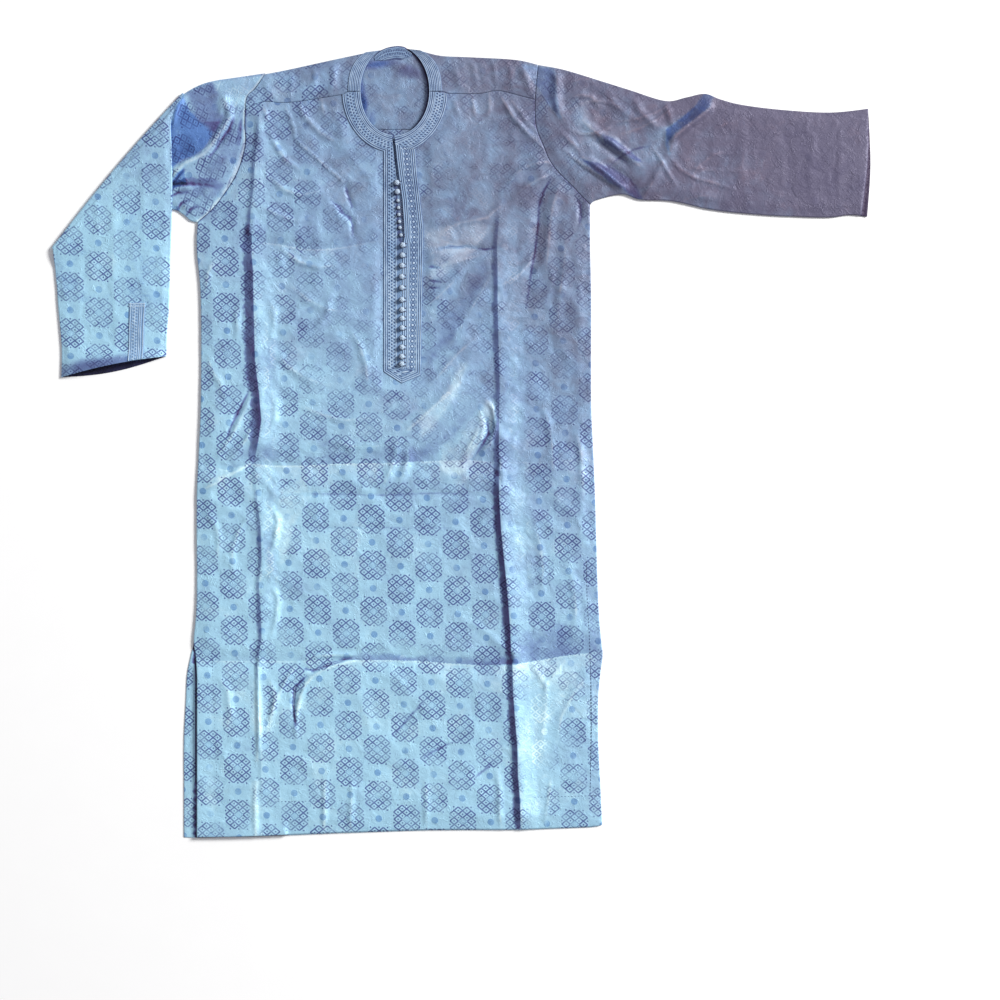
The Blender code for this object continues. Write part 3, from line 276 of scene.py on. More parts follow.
# The first of these lie under the press lines.
PRESS_COUNT = 4
FRONT_CREASES = (
    Fold(22, 20, (
        (-299, 280, -1.2), (-282, 285, -1.8), (-259, 282, -1.8), (-232, 277, -1.7),
        (-202, 275, -1.9), (-166, 279, -1.8), (-137, 285, -1.6), (-114, 289, -0.6),
    )),
    Fold(30, 24, (
        (-366, -34, -0.8), (-335, -40, -1.6), (-303, -31, -1.6), (-267, -34, -2.0),
        (-233, -34, -2.2), (-174, -31, -2.3), (-103, -30, -2.2), (-37, -27, -2.2),
        (11, -26, -1.9), (43, -29, -1.2),
    )),
    Fold(22, 24, (
        (-380, -313, -1.2), (-339, -313, -2.0), (-293, -313, -2.2), (-246, -313, -1.8),
        (-203, -312, -1.5), (-157, -312, -2.2), (-103, -312, -2.5), (-60, -313, -2.4),
        (-10, -317, -2.2), (29, -319, -1.8), (63, -317, -1.2),
    )),
    Fold(34, 26, (
        (77, -317, -1.2), (112, -312, -2.0), (144, -306, -2.2), (176, -302, -1.8),
        (199, -299, -0.8),
    )),
    Fold(4, 3.5, (
        (-155, -313, 0.8), (-178, -318, 1.8), (-196, -324, 2.2), (-210, -333, 2.2),
        (-223, -346, 2.2), (-231, -365, 2.2), (-236, -387, 2.0), (-238, -406, 1.6),
        (-236, -425, 0.4),
    )),
    Fold(3.5, 4, (
        (-152, -303, 0.5), (-159, -304, 1.5), (-193, -305, 1.6), (-208, -306, 1.4),
        (-222, -311, 0.4),
    )),
    Fold(3, 3, ((-159, -309, -0.5), (-193, -319, -1.5), (-213, -327, -1.5), (-224, -324, -0.5))),
    Fold(3, 3, (
        (-222, -334, -0.5), (-239, -351, -1.6), (-241, -376, -1.8), (-238, -398, -1.2),
        (-237, -412, -0.3),
    )),
    Fold(4, 4, ((-234, -316, 0.6), (-250, -338, 1.7), (-266, -370, 1.7), (-275, -394, 0.5))),
    Fold(4, 4, ((-291, -322, 0.3), (-292, -360, 1.1), (-290, -410, 1.2), (-292, -455, 0.5))),
    Fold(5, 5, ((-294, -484, 0.4), (-295, -520, 1.6), (-294, -562, 1.4))),
    Fold(8, 8, ((-375, -70, 0.4), (-353, -60, 1.8), (-329, -47, 2.0), (-303, -31, 1.0))),
    Fold(7, 7, ((-368, -57, 0.3), (-345, -51, 1.2), (-317, -40, 0.5))),
    Fold(7, 8, (
        (-286, -76, 0.1), (-203, -74, -0.6), (-117, -76, -0.5), (-31, -73, -0.5), (37, -76, -0.2),
    )),
    Fold(6, 7, ((-282, -122, 0.1), (-189, -123, -0.4), (-89, -122, -0.4), (-17, -123, -0.2))),
    Fold(10, 9, (
        (-37, 292, 0.6), (-24, 302, 2.0), (-6, 312, 2.6), (14, 316, 2.6), (36, 320, 2.2),
        (54, 336, 0.8),
    )),
    Fold(9, 9, (
        (-37, 275, -0.4), (-17, 279, -1.6), (6, 279, -1.7), (34, 275, -1.4), (54, 279, -0.5),
    )),
    Fold(9, 8, ((-31, 249, 0.4), (-14, 257, 1.6), (6, 262, 1.5), (26, 266, 0.5))),
    Fold(3, 4, (
        (-255, 485, 0.3), (-247, 468, 1.0), (-240, 449, 0.9), (-237, 432, 0.8), (-227, 422, 1.1),
        (-216, 413, 0.9), (-196, 395, 1.1), (-179, 380, 1.0), (-167, 369, 0.5),
    )),
    Fold(6, 4, ((-167, 369, -0.5), (-163, 353, -1.5), (-157, 336, -0.8))),
    Fold(6, 5, (
        (-187, 345, -0.4), (-176, 336, -1.4), (-170, 327, -1.5), (-160, 320, -1.3),
        (-156, 309, -1.4), (-156, 295, -0.5),
    )),
    Fold(6, 6, ((-256, 275, 0.4), (-232, 257, 1.3), (-206, 249, 1.2), (-180, 252, 0.4))),
    Fold(7, 7, ((-277, 380, 0.3), (-253, 360, 1.3), (-229, 352, 1.4), (-203, 358, 0.5))),
    Fold(6, 7, ((-286, 336, 0.3), (-267, 326, 1.2), (-243, 317, 1.2), (-214, 319, 0.4))),
    Fold(6, 6, ((-232, 483, 0.3), (-220, 460, 1.2), (-203, 442, 1.3), (-183, 430, 0.5))),
    Fold(6, 6, ((-275, 446, 0.3), (-266, 423, 1.2), (-252, 403, 1.3), (-232, 389, 0.5))),
    Fold(13, 15, ((-77, 17, 0.8), (-51, 40, 2.2), (-26, 63, 2.4), (-3, 84, 1.2))),
    Fold(16, 16, ((-19, 133, 0.5), (4, 172, 1.5), (24, 208, 1.6), (42, 238, 0.6))),
    Fold(8, 9, ((-46, 80, 0.3), (-26, 103, 1.4), (-3, 129, 1.5), (20, 149, 0.5))),
    Fold(9, 9, ((-54, 194, 0.3), (-34, 207, 1.2), (-14, 227, 1.2), (0, 249, 0.4))),
    Fold(4, 4, ((-53, 250, -0.5), (-43, 250, -1.1), (-31, 249, -0.4))),
    Fold(4, 4, ((-53, 230, -0.5), (-41, 230, -1.1), (-30, 229, -0.4))),
    Fold(4, 4, ((-51, 222, -0.4), (-43, 220, -0.9), (-34, 220, -0.3))),
    Fold(9, 9, ((-246, 225, 0.2), (-220, 203, 1.1), (-192, 189, 1.2), (-160, 186, 0.4))),
    Fold(8, 8, ((-160, 160, 0.3), (-146, 139, 1.1), (-137, 110, 1.2), (-134, 74, 0.3))),
    Fold(8, 9, ((-267, 132, 0.3), (-250, 110, 1.2), (-229, 94, 1.2), (-200, 83, 0.4))),
    Fold(9, 9, ((-232, 53, 0.3), (-200, 39, 1.2), (-167, 31, 1.1), (-132, 34, 0.3))),
    Fold(8, 9, ((-189, 3, 0.3), (-160, -6, 1.0), (-126, -7, 1.0), (-96, -1, 0.3))),
    Fold(9, 10, ((-92, 9, 0.4), (-94, -19, 1.6), (-102, -40, 1.6), (-112, -63, 0.5))),
    Fold(8, 8, ((-79, 1, 0.3), (-77, -23, 1.3), (-83, -46, 1.3), (-92, -67, 0.4))),
    Fold(7, 6, (
        (53, 499, 0.5), (64, 479, 1.6), (74, 462, 1.9), (86, 449, 1.9), (97, 439, 2.0),
        (109, 428, 1.9), (119, 416, 1.0),
    )),
    Fold(5, 5, ((67, 493, 0.3), (80, 475, 1.2), (94, 456, 1.4), (109, 442, 1.3), (122, 426, 0.5))),
    Fold(6, 7, ((130, 395, 0.8), (123, 400, 1.9), (112, 399, 2.0), (89, 392, 1.8), (67, 373, 0.6))),
    Fold(6, 7, ((127, 383, 0.6), (112, 376, 1.7), (94, 366, 1.6), (74, 350, 0.5))),
    Fold(12, 13, (
        (126, 375, -0.8), (116, 356, -2.0), (110, 337, -2.2), (109, 313, -2.2), (107, 293, -2.0),
        (104, 270, -1.9), (99, 243, -1.6), (92, 192, -0.5),
    )),
    Fold(10, 9, (
        (140, 366, 0.8), (130, 339, 1.9), (126, 310, 2.0), (124, 280, 1.6), (120, 246, 0.6),
    )),
    Fold(8, 8, ((53, 222, 0.6), (69, 230, 1.8), (83, 239, 1.9), (96, 255, 1.7), (104, 276, 0.7))),
    Fold(6, 6, ((162, 352, -0.4), (169, 339, -1.6), (170, 323, -1.5), (167, 309, -0.5))),
    Fold(6, 6, ((180, 346, 0.6), (183, 325, 1.5), (179, 300, 1.3), (176, 275, 0.4))),
    Fold(9, 9, ((149, 292, 0.3), (146, 253, 1.3), (140, 214, 1.3), (137, 174, 0.4))),
    Fold(4, 4, ((33, 62, 0.5), (44, 48, 1.8), (48, 22, 2.0), (41, -2, 1.6), (28, -16, 0.6))),
    Fold(3, 3, ((25, 42, 0.4), (31, 24, 1.6), (27, 4, 1.6), (12, -14, 1.2), (2, -30, 0.4))),
    Fold(3, 3, ((36, 34, -0.5), (38, 12, -1.5), (27, -8, -1.3), (14, -26, -0.5))),
    Fold(6, 7, ((1, -23, 0.4), (11, -6, 1.5), (20, 9, 1.4), (26, 24, 0.4))),
    Fold(8, 9, ((112, 60, 0.3), (123, 31, 1.3), (129, -4, 1.3), (130, -40, 0.4))),
    Fold(8, 8, ((162, 17, 0.3), (170, -11, 1.2), (173, -47, 1.2), (173, -83, 0.3))),
    Fold(8, 9, ((102, -112, 0.3), (112, -147, 1.2), (116, -183, 1.3), (113, -226, 0.3))),
    Fold(9, 9, ((149, -169, 0.3), (160, -204, 1.3), (163, -243, 1.3), (160, -277, 0.3))),
    Fold(5, 6, (
        (101, -317, 0.5), (110, -331, 1.0), (120, -347, 1.0), (121, -372, 0.7),
        (117, -410, 0.5), (114, -440, 0.1),
    )),
    Fold(6, 5, ((147, -314, 0.4), (134, -330, 0.9), (122, -345, 0.6))),
    Fold(9, 9, ((176, -338, 0.3), (158, -362, 1.0), (142, -392, 1.2), (135, -430, 0.4))),
    Fold(2.5, 2.5, ((127, -478, 0.3), (125, -500, 1.1), (121, -528, 0.8), (119, -548, 0.2))),
    Fold(14, 14, ((-106, -429, 0.3), (-89, -409, -1.2), (-72, -389, -1.3), (-54, -372, -0.3))),
    Fold(14, 14, ((-63, -459, 0.3), (-43, -443, -1.2), (-21, -432, -1.2), (0, -423, -0.3))),
    Fold(14, 14, ((9, -488, 0.3), (26, -473, -1.2), (43, -460, -1.1), (59, -450, -0.3))),
    Fold(6, 6, ((-194, -472, 0.2), (-196, -498, 1.3), (-196, -529, 1.4), (-197, -561, 0.8))),
    Fold(6, 6, ((-157, -475, 0.2), (-157, -505, 1.2), (-159, -533, 1.2), (-159, -561, 0.7))),
    Fold(6, 6, ((50, -466, 0.3), (54, -498, 1.2), (54, -529, 1.3), (57, -558, 0.8))),
    Fold(5, 5, ((-51, -483, 0.2), (-50, -512, 1.0), (-51, -541, 1.0), (-50, -561, 0.5))),
    Fold(6, 6, ((-352, 262, 0.3), (-362, 243, 1.2), (-366, 219, 1.1), (-372, 200, 0.3))),
    Fold(6, 6, ((-316, 200, 0.3), (-322, 182, 1.0), (-320, 160, 1.0), (-324, 140, 0.3))),
    Fold(7, 8, ((-366, 132, 0.3), (-358, 104, 1.0), (-346, 86, 1.0), (-340, 66, 0.3))),
    Fold(5, 5, (
        (-300, 66, 0.3), (-312, 40, 1.3), (-326, 12, 1.4), (-340, -10, 1.1), (-352, -20, 0.3),
    )),
    Fold(3, 3, ((-304, 74, -0.4), (-318, 46, -1.2), (-328, 26, -1.2), (-335, 8, -0.4))),
    Fold(4, 4, ((-296, 32, 0.3), (-306, 6, 1.4), (-322, -16, 1.4), (-340, -28, 0.4))),
    Fold(7, 7, ((-368, -96, 0.3), (-352, -118, 1.0), (-346, -140, 1.0), (-350, -168, 0.3))),
    Fold(6, 6, ((-300, -100, 0.3), (-318, -126, 1.1), (-328, -156, 1.1), (-326, -190, 0.3))),
    Fold(8, 8, ((-348, -335, 0.3), (-334, -356, 1.1), (-330, -386, 1.0), (-336, -410, 0.3))),
    Fold(6, 7, ((-277, 203, 0.2), (-266, 186, 1.0), (-269, 160, 0.9), (-275, 139, 0.2))),
    Fold(6, 6, ((-275, 74, 0.2), (-265, 54, 1.0), (-267, 31, 0.9), (-275, 9, 0.2))),
    Fold(6, 6, ((-272, -90, 0.3), (-262, -112, 1.4), (-266, -140, 1.4), (-273, -163, 0.3))),
    Fold(6, 6, ((-270, -204, 0.3), (-262, -226, 1.3), (-265, -255, 1.3), (-272, -275, 0.3))),
    Fold(7, 7, ((-277, -335, 0.3), (-267, -358, 1.3), (-270, -386, 1.3), (-277, -412, 0.3))),
    Fold(5, 5, ((-286, 483, 0.9), (-280, 469, 1.2), (-277, 455, 0.2))),
    Fold(5, 5, ((-232, 486, 0.9), (-229, 472, 1.2), (-225, 458, 0.2))),
    Fold(4, 5, ((-200, 490, 0.9), (-199, 478, 1.1), (-194, 463, 0.2))),
    Fold(5, 5, ((-14, 495, 0.9), (-10, 480, 1.2), (-3, 466, 0.2))),
    Fold(5, 5, ((14, 495, 0.9), (17, 480, 1.2), (20, 460, 0.2))),
    Fold(5, 5, ((39, 498, 0.9), (40, 483, 1.3), (37, 463, 0.2))),
)
YOKE_CREASES = (
    Fold(7, 9, ((-272, 492, 0.6), (-280, 506, 1.6), (-286, 521, 1.4), (-296, 532, 0.5))),
    Fold(6, 7, ((-246, 529, 0.3), (-243, 512, 1.4), (-246, 492, 0.8))),
    Fold(6, 6, ((-214, 538, 0.3), (-209, 518, 1.4), (-213, 495, 0.8))),
    Fold(6, 6, ((-186, 546, 0.3), (-182, 526, 1.2), (-186, 500, 0.7))),
    Fold(7, 7, ((-20, 543, 0.5), (-9, 526, 1.5), (-3, 506, 1.0))),
    Fold(6, 7, ((6, 552, 0.4), (17, 535, 1.5), (21, 509, 1.0))),
    Fold(6, 6, ((37, 555, 0.4), (46, 538, 1.4), (49, 512, 0.9))),
    Fold(8, 10, ((84, 543, 1.2), (89, 526, 2.4), (97, 509, 2.2), (106, 492, 1.2))),
    Fold(6, 6, ((61, 551, 0.4), (69, 532, 1.4), (72, 506, 0.8))),
)
SLEEVE_LEFT_CREASES = (
    Fold(4, 4, ((214, 457, 0.4), (246, 460, 1.2), (272, 468, 1.3), (295, 480, 0.5))),
    Fold(4, 4, ((228, 440, 0.4), (254, 448, 1.3), (279, 460, 1.3), (299, 476, 0.5))),
    Fold(3, 4, ((152, 447, 0.4), (172, 440, 1.2), (191, 441, 1.2), (212, 450, 0.4))),
    Fold(4, 3, ((144, 418, 0.4), (163, 403, 1.2), (183, 388, 1.3), (214, 369, 0.5))),
    Fold(4, 4, (
        (297, 406, 0.4), (311, 390, 1.2), (333, 377, 1.3), (364, 369, 1.0), (403, 355, 0.3),
    )),
    Fold(3, 3, ((340, 412, 0.3), (378, 411, 0.9), (419, 413, 0.3))),
    Fold(3, 3, ((318, 393, 0.3), (356, 388, 0.9), (404, 386, 0.3))),
    Fold(4, 4, ((268, 425, 0.4), (281, 408, 1.2), (294, 385, 1.2), (306, 366, 0.4))),
    Fold(3, 3, ((158, 476, 0.3), (178, 486, 1.1), (200, 487, 1.2), (224, 478, 0.4))),
    Fold(12, 10, (
        (84, 542, 0.8), (110, 538, 2.6), (127, 536, 2.6), (136, 521, 2.6), (134, 490, 2.8),
        (137, 476, 2.6), (146, 459, 0.8),
    )),
    Fold(9, 12, (
        (173, 459, 0.6), (193, 440, 3.2), (204, 433, 4.6), (214, 428, 5.4), (233, 412, 4.0),
        (256, 392, 0.6),
    )),
    Fold(8, 10, ((180, 452, 0.4), (197, 429, -1.2), (214, 415, -1.3), (237, 398, -0.4))),
    Fold(7, 13, (
        (173, 406, 1.2), (186, 399, 3.6), (204, 386, 4.8), (227, 366, 4.6), (239, 352, 1.0),
    )),
    Fold(9, 9, ((186, 409, 0.4), (214, 392, -1.2), (240, 375, -1.3), (259, 349, -0.3))),
    Fold(7, 7, ((157, 512, 0.3), (169, 519, 1.6), (183, 518, 1.7), (193, 508, 0.4))),
    Fold(7, 7, ((154, 492, 0.3), (170, 496, 1.6), (186, 492, 1.7), (197, 480, 0.4))),
    Fold(8, 16, (
        (358, 492, 0.6), (353, 475, 3.6), (335, 460, 4.6), (319, 448, 5.0), (303, 435, 4.6),
        (296, 412, 1.0),
    )),
    Fold(8, 8, ((289, 489, 0.6), (295, 472, 1.6), (300, 455, 1.0))),
    Fold(9, 9, ((243, 495, 0.3), (255, 472, 1.4), (272, 455, 1.5), (289, 446, 0.4))),
    Fold(9, 9, ((206, 503, 0.3), (217, 483, 1.4), (237, 466, 1.4), (260, 458, 0.4))),
    Fold(9, 9, ((197, 380, 0.3), (220, 403, -1.2), (246, 418, -1.2), (269, 423, -0.3))),
    Fold(9, 9, ((255, 337, 0.4), (266, 360, 1.6), (277, 378, 1.5), (289, 403, 0.4))),
    Fold(10, 10, ((326, 375, 0.3), (340, 395, 1.2), (358, 409, 1.2), (378, 418, 0.3))),
    Fold(10, 10, ((306, 340, 0.3), (326, 349, 1.1), (349, 352, 1.1), (372, 349, 0.3))),
    Fold(10, 12, ((398, 472, 0.3), (403, 432, 1.2), (400, 389, 1.2), (406, 340, 0.3))),
    Fold(10, 10, ((440, 466, 0.2), (463, 432, -0.9), (469, 389, -1.0), (463, 346, -0.2))),
    Fold(9, 9, ((492, 463, 0.2), (500, 423, 1.0), (498, 375, 1.0), (503, 335, 0.3))),
    Fold(9, 9, ((535, 466, 0.2), (542, 418, 0.9), (538, 366, 0.9), (543, 332, 0.3))),
    Fold(6, 6, ((140, 443, 0.4), (157, 428, 1.5), (169, 415, 0.5))),
    Fold(8, 8, ((363, 449, 0.3), (380, 455, 1.1), (398, 455, 0.3))),
)
ARM_PRESS_LINES = (
    Press(-0.10, 20, 0.50, 16, (
        (-416, 386, 0.8), (-397, 400, 1.0), (-376, 410, 1.0), (-357, 428, 1.0), (-343, 446, 1.0),
        (-330, 465, 0.9), (-323, 485, 0.7), (-317, 501, 0.3),
    )),
    Press(0.30, 8, -1.3, 12, (
        (-416, 371, 0.9), (-392, 378, 1.0), (-368, 377, 0.8), (-345, 372, 0.2),
    )),
)
UPPER_ARM_CREASES = (
    Fold(9, 8, ((-398, 495, 1.0), (-406, 485, 3.0), (-412, 472, 3.2), (-415, 455, 1.0))),
    Fold(8, 5, (
        (-339, 490, 0.8), (-335, 478, 2.2), (-332, 465, 2.8), (-339, 452, 2.8), (-349, 437, 2.8),
        (-359, 421, 2.8), (-368, 411, 2.8), (-380, 404, 2.7), (-395, 398, 2.6), (-406, 388, 2.2),
        (-417, 375, 1.0),
    )),
    Fold(3, 3, (
        (-326, 466, -0.6), (-333, 447, -1.4), (-343, 432, -1.5), (-353, 416, -1.4),
        (-362, 406, -0.5),
    )),
    Fold(3, 3, ((-396, 390, -0.5), (-407, 377, -1.4), (-419, 363, -1.0))),
    Fold(3, 3, ((-341, 495, 0.5), (-337, 482, 1.6), (-340, 472, 0.5))),
    Fold(3, 3, ((-317, 470, -0.4), (-316, 446, -1.1), (-318, 424, -0.4))),
    Fold(4, 4, ((-345, 492, 0.4), (-343, 478, 1.3), (-347, 466, 0.4))),
    Fold(3, 3, ((-283, 522, 0.5), (-294, 508, 1.5), (-305, 496, 0.8))),
    Fold(3, 3, ((-279, 518, -0.4), (-290, 505, -1.2), (-301, 493, -0.6))),
    Fold(3, 4, (
        (-418, 366, -1.0), (-400, 369, -1.3), (-386, 369, -1.1), (-366, 367, -0.9),
        (-345, 364, -0.3),
    )),
    Fold(4, 4, ((-418, 350, -0.6), (-406, 356, -1.1), (-390, 357, -0.3))),
    Fold(3, 3, ((-408, 330, -0.7), (-401, 341, -1.3), (-390, 346, -0.4))),
    Fold(3, 3, ((-404, 326, 0.6), (-396, 336, 1.5), (-384, 340, 0.5))),
    Fold(3, 3, ((-394, 324, -0.6), (-388, 332, -1.2), (-377, 338, -0.4))),
    Fold(5, 5, ((-416, 360, 0.6), (-400, 364, 1.2), (-384, 362, 0.4))),
    Fold(7, 7, ((-380, 343, 0.3), (-366, 355, 1.3), (-346, 380, 1.4), (-332, 403, 0.4))),
    Fold(7, 7, ((-317, 403, 0.4), (-335, 386, 1.4), (-352, 358, 1.4), (-366, 326, 0.4))),
    Fold(6, 6, ((-309, 475, 0.3), (-313, 455, 1.5), (-319, 432, 0.5))),
)
FOREARM_CREASES = (
    Fold(9, 9, (
        (-496, 360, 0.5), (-496, 303, 1.2), (-498, 246, 1.2), (-496, 189, 1.1), (-495, 129, 0.4),
    )),
    Fold(8, 8, ((-546, 289, 0.4), (-546, 232, 1.1), (-548, 174, 1.1), (-546, 114, 0.4))),
    Fold(8, 8, ((-453, 432, 0.4), (-455, 375, 1.1), (-452, 317, 1.1), (-453, 257, 0.4))),
    Fold(7, 7, ((-572, 129, 0.5), (-565, 133, 1.8), (-553, 139, 0.6))),
    Fold(6, 6, ((-575, 146, 0.4), (-563, 152, 1.3), (-549, 152, 0.3))),
    Fold(7, 7, ((-432, 489, 0.4), (-446, 463, 1.4), (-463, 438, 1.3), (-478, 415, 0.3))),
    Fold(8, 8, ((-418, 418, 0.3), (-435, 406, 1.2), (-452, 389, 1.2), (-466, 366, 0.3))),
    Fold(7, 7, ((-529, 352, 0.4), (-521, 335, 1.2), (-518, 312, 1.1), (-521, 289, 0.3))),
    Fold(8, 9, ((-475, 203, 0.2), (-488, 177, 1.0), (-493, 152, 1.0), (-490, 129, 0.3))),
    Fold(8, 8, ((-420, 303, 0.3), (-435, 289, 1.1), (-446, 269, 1.1), (-452, 243, 0.3))),
)

# ---------------------------------------------------------------- plan curves


def smooth_path(points, per_span=6):
    """A Catmull-Rom curve through the points, with per_span steps from each to the next."""
    ends = [points[0], *points, points[-1]]
    path = []
    for before, start, end, after in zip(ends, ends[1:], ends[2:], ends[3:]):
        p0, p1, p2, p3 = (Vector((p.x, p.y)) for p in (before, start, end, after))
        for step in range(per_span):
            t = step / per_span
            pull = (p2 - p0) * t + (2 * p0 - 5 * p1 + 4 * p2 - p3) * t * t
            path.append(p1 + 0.5 * (pull + (3 * p1 - p0 - 3 * p2 + p3) * t ** 3))
    return path + [Vector((points[-1].x, points[-1].y))]


def plain_path(points):
    return [Vector((p.x, p.y)) for p in points]


def knot_path(line, step):
    """A fold's or a press line's knots in plan, with points at nearly even steps."""
    return even_path([Vector(knot[:2]) for knot in line.knots], step)


def outline_of(*paths):
    """A closed outline of paths that each start where the one before ends."""
    return [point for path in paths for point in path[:-1]]


def beside(path, distance):
    """The path moved sideways, to the left of its own direction."""
    moved = []
    for i, point in enumerate(path):
        along = path[min(i + 1, len(path) - 1)] - path[max(i - 1, 0)]
        along.normalize()
        moved.append(point + Vector((-along.y, along.x)) * distance)
    return moved


def upright_part(path, top, bottom):
    """The stretch of a falling path between two heights, with ends worked out on it."""
    part = []
    for start, end in zip(path, path[1:]):
        for height in (top, bottom):
            if end.y < height < start.y:
                part.append(start.lerp(end, (start.y - height) / (start.y - end.y)))
        if bottom <= end.y <= top:
            part.append(end)
    if path[0].y <= top:
        part.insert(0, path[0])
    return sorted(part, key=lambda p: -p.y)


def at_height(path, height):
    """The point of a falling path at a height."""
    for start, end in zip(path, path[1:]):
        if end.y <= height <= start.y:
            return start.lerp(end, (start.y - height) / (start.y - end.y))
    return path[-1]


def path_x(path, y):
    """x on a path that only rises or only falls, at heights y."""
    points = sorted((p[1], p[0]) for p in path)
    return np.interp(y, [p[0] for p in points], [p[1] for p in points])


def even_path(path, step):
    """The path resampled at nearly even steps."""
    lengths = np.cumsum([0.0] + [(b - a).length for a, b in zip(path, path[1:])])
    count = max(1, round(lengths[-1] / step))
    places = np.linspace(0.0, lengths[-1], count + 1)
    xs = np.interp(places, lengths, [p.x for p in path])
    ys = np.interp(places, lengths, [p.y for p in path])
    return [Vector((float(x), float(y))) for x, y in zip(xs, ys)]


def on_oval(oval, degrees):
    """The point of an oval at an angle counted from +X towards +Y."""
    angle = math.radians(degrees)
    reach = oval.above if math.sin(angle) > 0 else oval.below
    x = math.copysign(abs(math.cos(angle)) ** (2 / oval.power), math.cos(angle))
    y = math.copysign(abs(math.sin(angle)) ** (2 / oval.power), math.sin(angle))
    return NECK_CENTRE + Vector((oval.half_width * x, reach * y))


def oval_arc(oval, start, end, count):
    step = (end - start) / count
    return [on_oval(oval, start + step * i) for i in range(count + 1)]


def oval_share(oval, x, y):
    """How far out points lie on an oval's scale: 1 on the oval, 0 at its centre."""
    reach = np.where(y > NECK_CENTRE.y, oval.above, oval.below)
    share = np.abs((x - NECK_CENTRE.x) / oval.half_width) ** oval.power
    share = share + np.abs((y - NECK_CENTRE.y) / reach) ** oval.power
    return share ** (1 / oval.power)


def column_path(rows, column):
    """The path down one column of a table whose rows each have a height y."""
    return [Vector((getattr(row, column), row.y)) for row in rows]


SIDES_IN_PLAN = {side: smooth_path(column_path(SIDES, side)) for side in ("front_right", "left")}


def hem_height(x):
    return float(np.interp(x, [p.x for p in HEM], [p.y for p in HEM]))


def inside(outline, point):
    """Whether a point lies within a closed outline, by counting crossings."""
    within = False
    for start, end in zip(outline, outline[1:] + outline[:1]):
        if (start[1] > point[1]) != (end[1] > point[1]):
            share = (point[1] - start[1]) / (end[1] - start[1])
            if point[0] < start[0] + share * (end[0] - start[0]):
                within = not within
    return within


def armhole_right(side):
    """The right armhole, downwards. The body is on its left, the sleeve on its right."""
    return beside(even_path(smooth_path(ARMHOLE_RIGHT), STEP), side * GAP / 2)


def armhole_left(side):
    """The left armhole, downwards. The sleeve is on its left, the body on its right."""
    return beside(even_path(smooth_path(ARMHOLE_LEFT), STEP), side * GAP / 2)


def body_down(top, bottom):
    """The body's edge at the right armhole between two heights, downwards."""
    return upright_part(armhole_right(1), top, bottom)


def body_up(top, bottom):
    """The body's edge at the left armhole between two heights, upwards."""
    return upright_part(armhole_left(-1), top, bottom)[::-1]


def shoulder_right():
    """The fold over the right shoulder, from the armhole to the neck hole."""
    neck_end = on_oval(NECK_HOLE, NECK_FOLD_RIGHT)
    path = [armhole_right(1)[0], *plain_path(SHOULDER_RIGHT[1:]), neck_end]
    return even_path(smooth_path(path), STEP)


def shoulder_left():
    """The fold over the left shoulder, from the neck hole to the armhole."""
    neck_end = on_oval(NECK_HOLE, NECK_FOLD_LEFT)
    path = [neck_end, *plain_path(SHOULDER_LEFT), armhole_left(-1)[0]]
    return even_path(smooth_path(path), STEP)


def yoke_seam_right(side):
    """Yoke to front on the right, from the armhole to the neck hole."""
    path = plain_path(YOKE_SEAM_RIGHT)
    path[0] = at_height(armhole_right(0), path[0].y)
    border = on_oval(FRONT_BORDER, FRONT_BORDER_SEAM_RIGHT)
    path = [*smooth_path([*path, border]), on_oval(YOKE_BORDER, 180.0)]
    path += [on_oval(NECK_HOLE, 180.0)]
    return beside(even_path(path, STEP), side * GAP / 2)


def yoke_seam_left(side):
    """Yoke to front on the left, from the neck hole to the armhole."""
    path = [on_oval(FRONT_BORDER, FRONT_BORDER_SEAM_LEFT), *plain_path(YOKE_SEAM_LEFT)]
    path[-1] = at_height(armhole_left(0), path[-1].y)
    path = [on_oval(NECK_HOLE, 360.0), on_oval(YOKE_BORDER, 360.0), *smooth_path(path)]
    return beside(even_path(path, STEP), side * GAP / 2)


def placket_join():
    """The line where the two strips of the placket meet, below the slit."""
    return [Vector(SLIT_END), *plain_path(PLACKET_JOIN), Vector(PLACKET_POINT)]


def button_line(height):
    """Where the buttons' row runs: the slit's right edge, then the strips' join."""
    return at_height(column_path(SLIT, "right") + placket_join(), height).x


# ------------------------------------------------------------- heights of cloth


def eased(share):
    share = np.clip(share, 0.0, 1.0)
    return share * share * (3 - 2 * share)


def soft_noise(x, y, size, seed):
    """Gradient noise between about -1 and 1, with bumps about size mm across."""
    angles = np.random.default_rng(seed).uniform(0, 2 * math.pi, (64, 64))
    gx, gy = x / size, y / size
    ix, iy = np.floor(gx).astype(int), np.floor(gy).astype(int)
    fx, fy = gx - ix, gy - iy
    wx, wy = (f ** 3 * (f * (f * 6 - 15) + 10) for f in (fx, fy))
    corners = {}
    for cx in (0, 1):
        for cy in (0, 1):
            angle = angles[(ix + cx) % 64, (iy + cy) % 64]
            corners[cx, cy] = np.cos(angle) * (fx - cx) + np.sin(angle) * (fy - cy)
    low = corners[0, 0] * (1 - wx) + corners[1, 0] * wx
    high = corners[0, 1] * (1 - wx) + corners[1, 1] * wx
    return (low * (1 - wy) + high * wy) * 1.5


def crumple(x, y, size, seed):
    """Thin ridges with hollows between, as in cloth that was folded away: 0 to 1."""
    sx = x + size * 0.5 * soft_noise(x, y, size * 1.3, seed + 1)
    sy = y + size * 0.5 * soft_noise(x, y, size * 1.3, seed + 2)
    return 1 - np.minimum(1.0, np.abs(soft_noise(sx, sy, size, seed)) * 2.4)


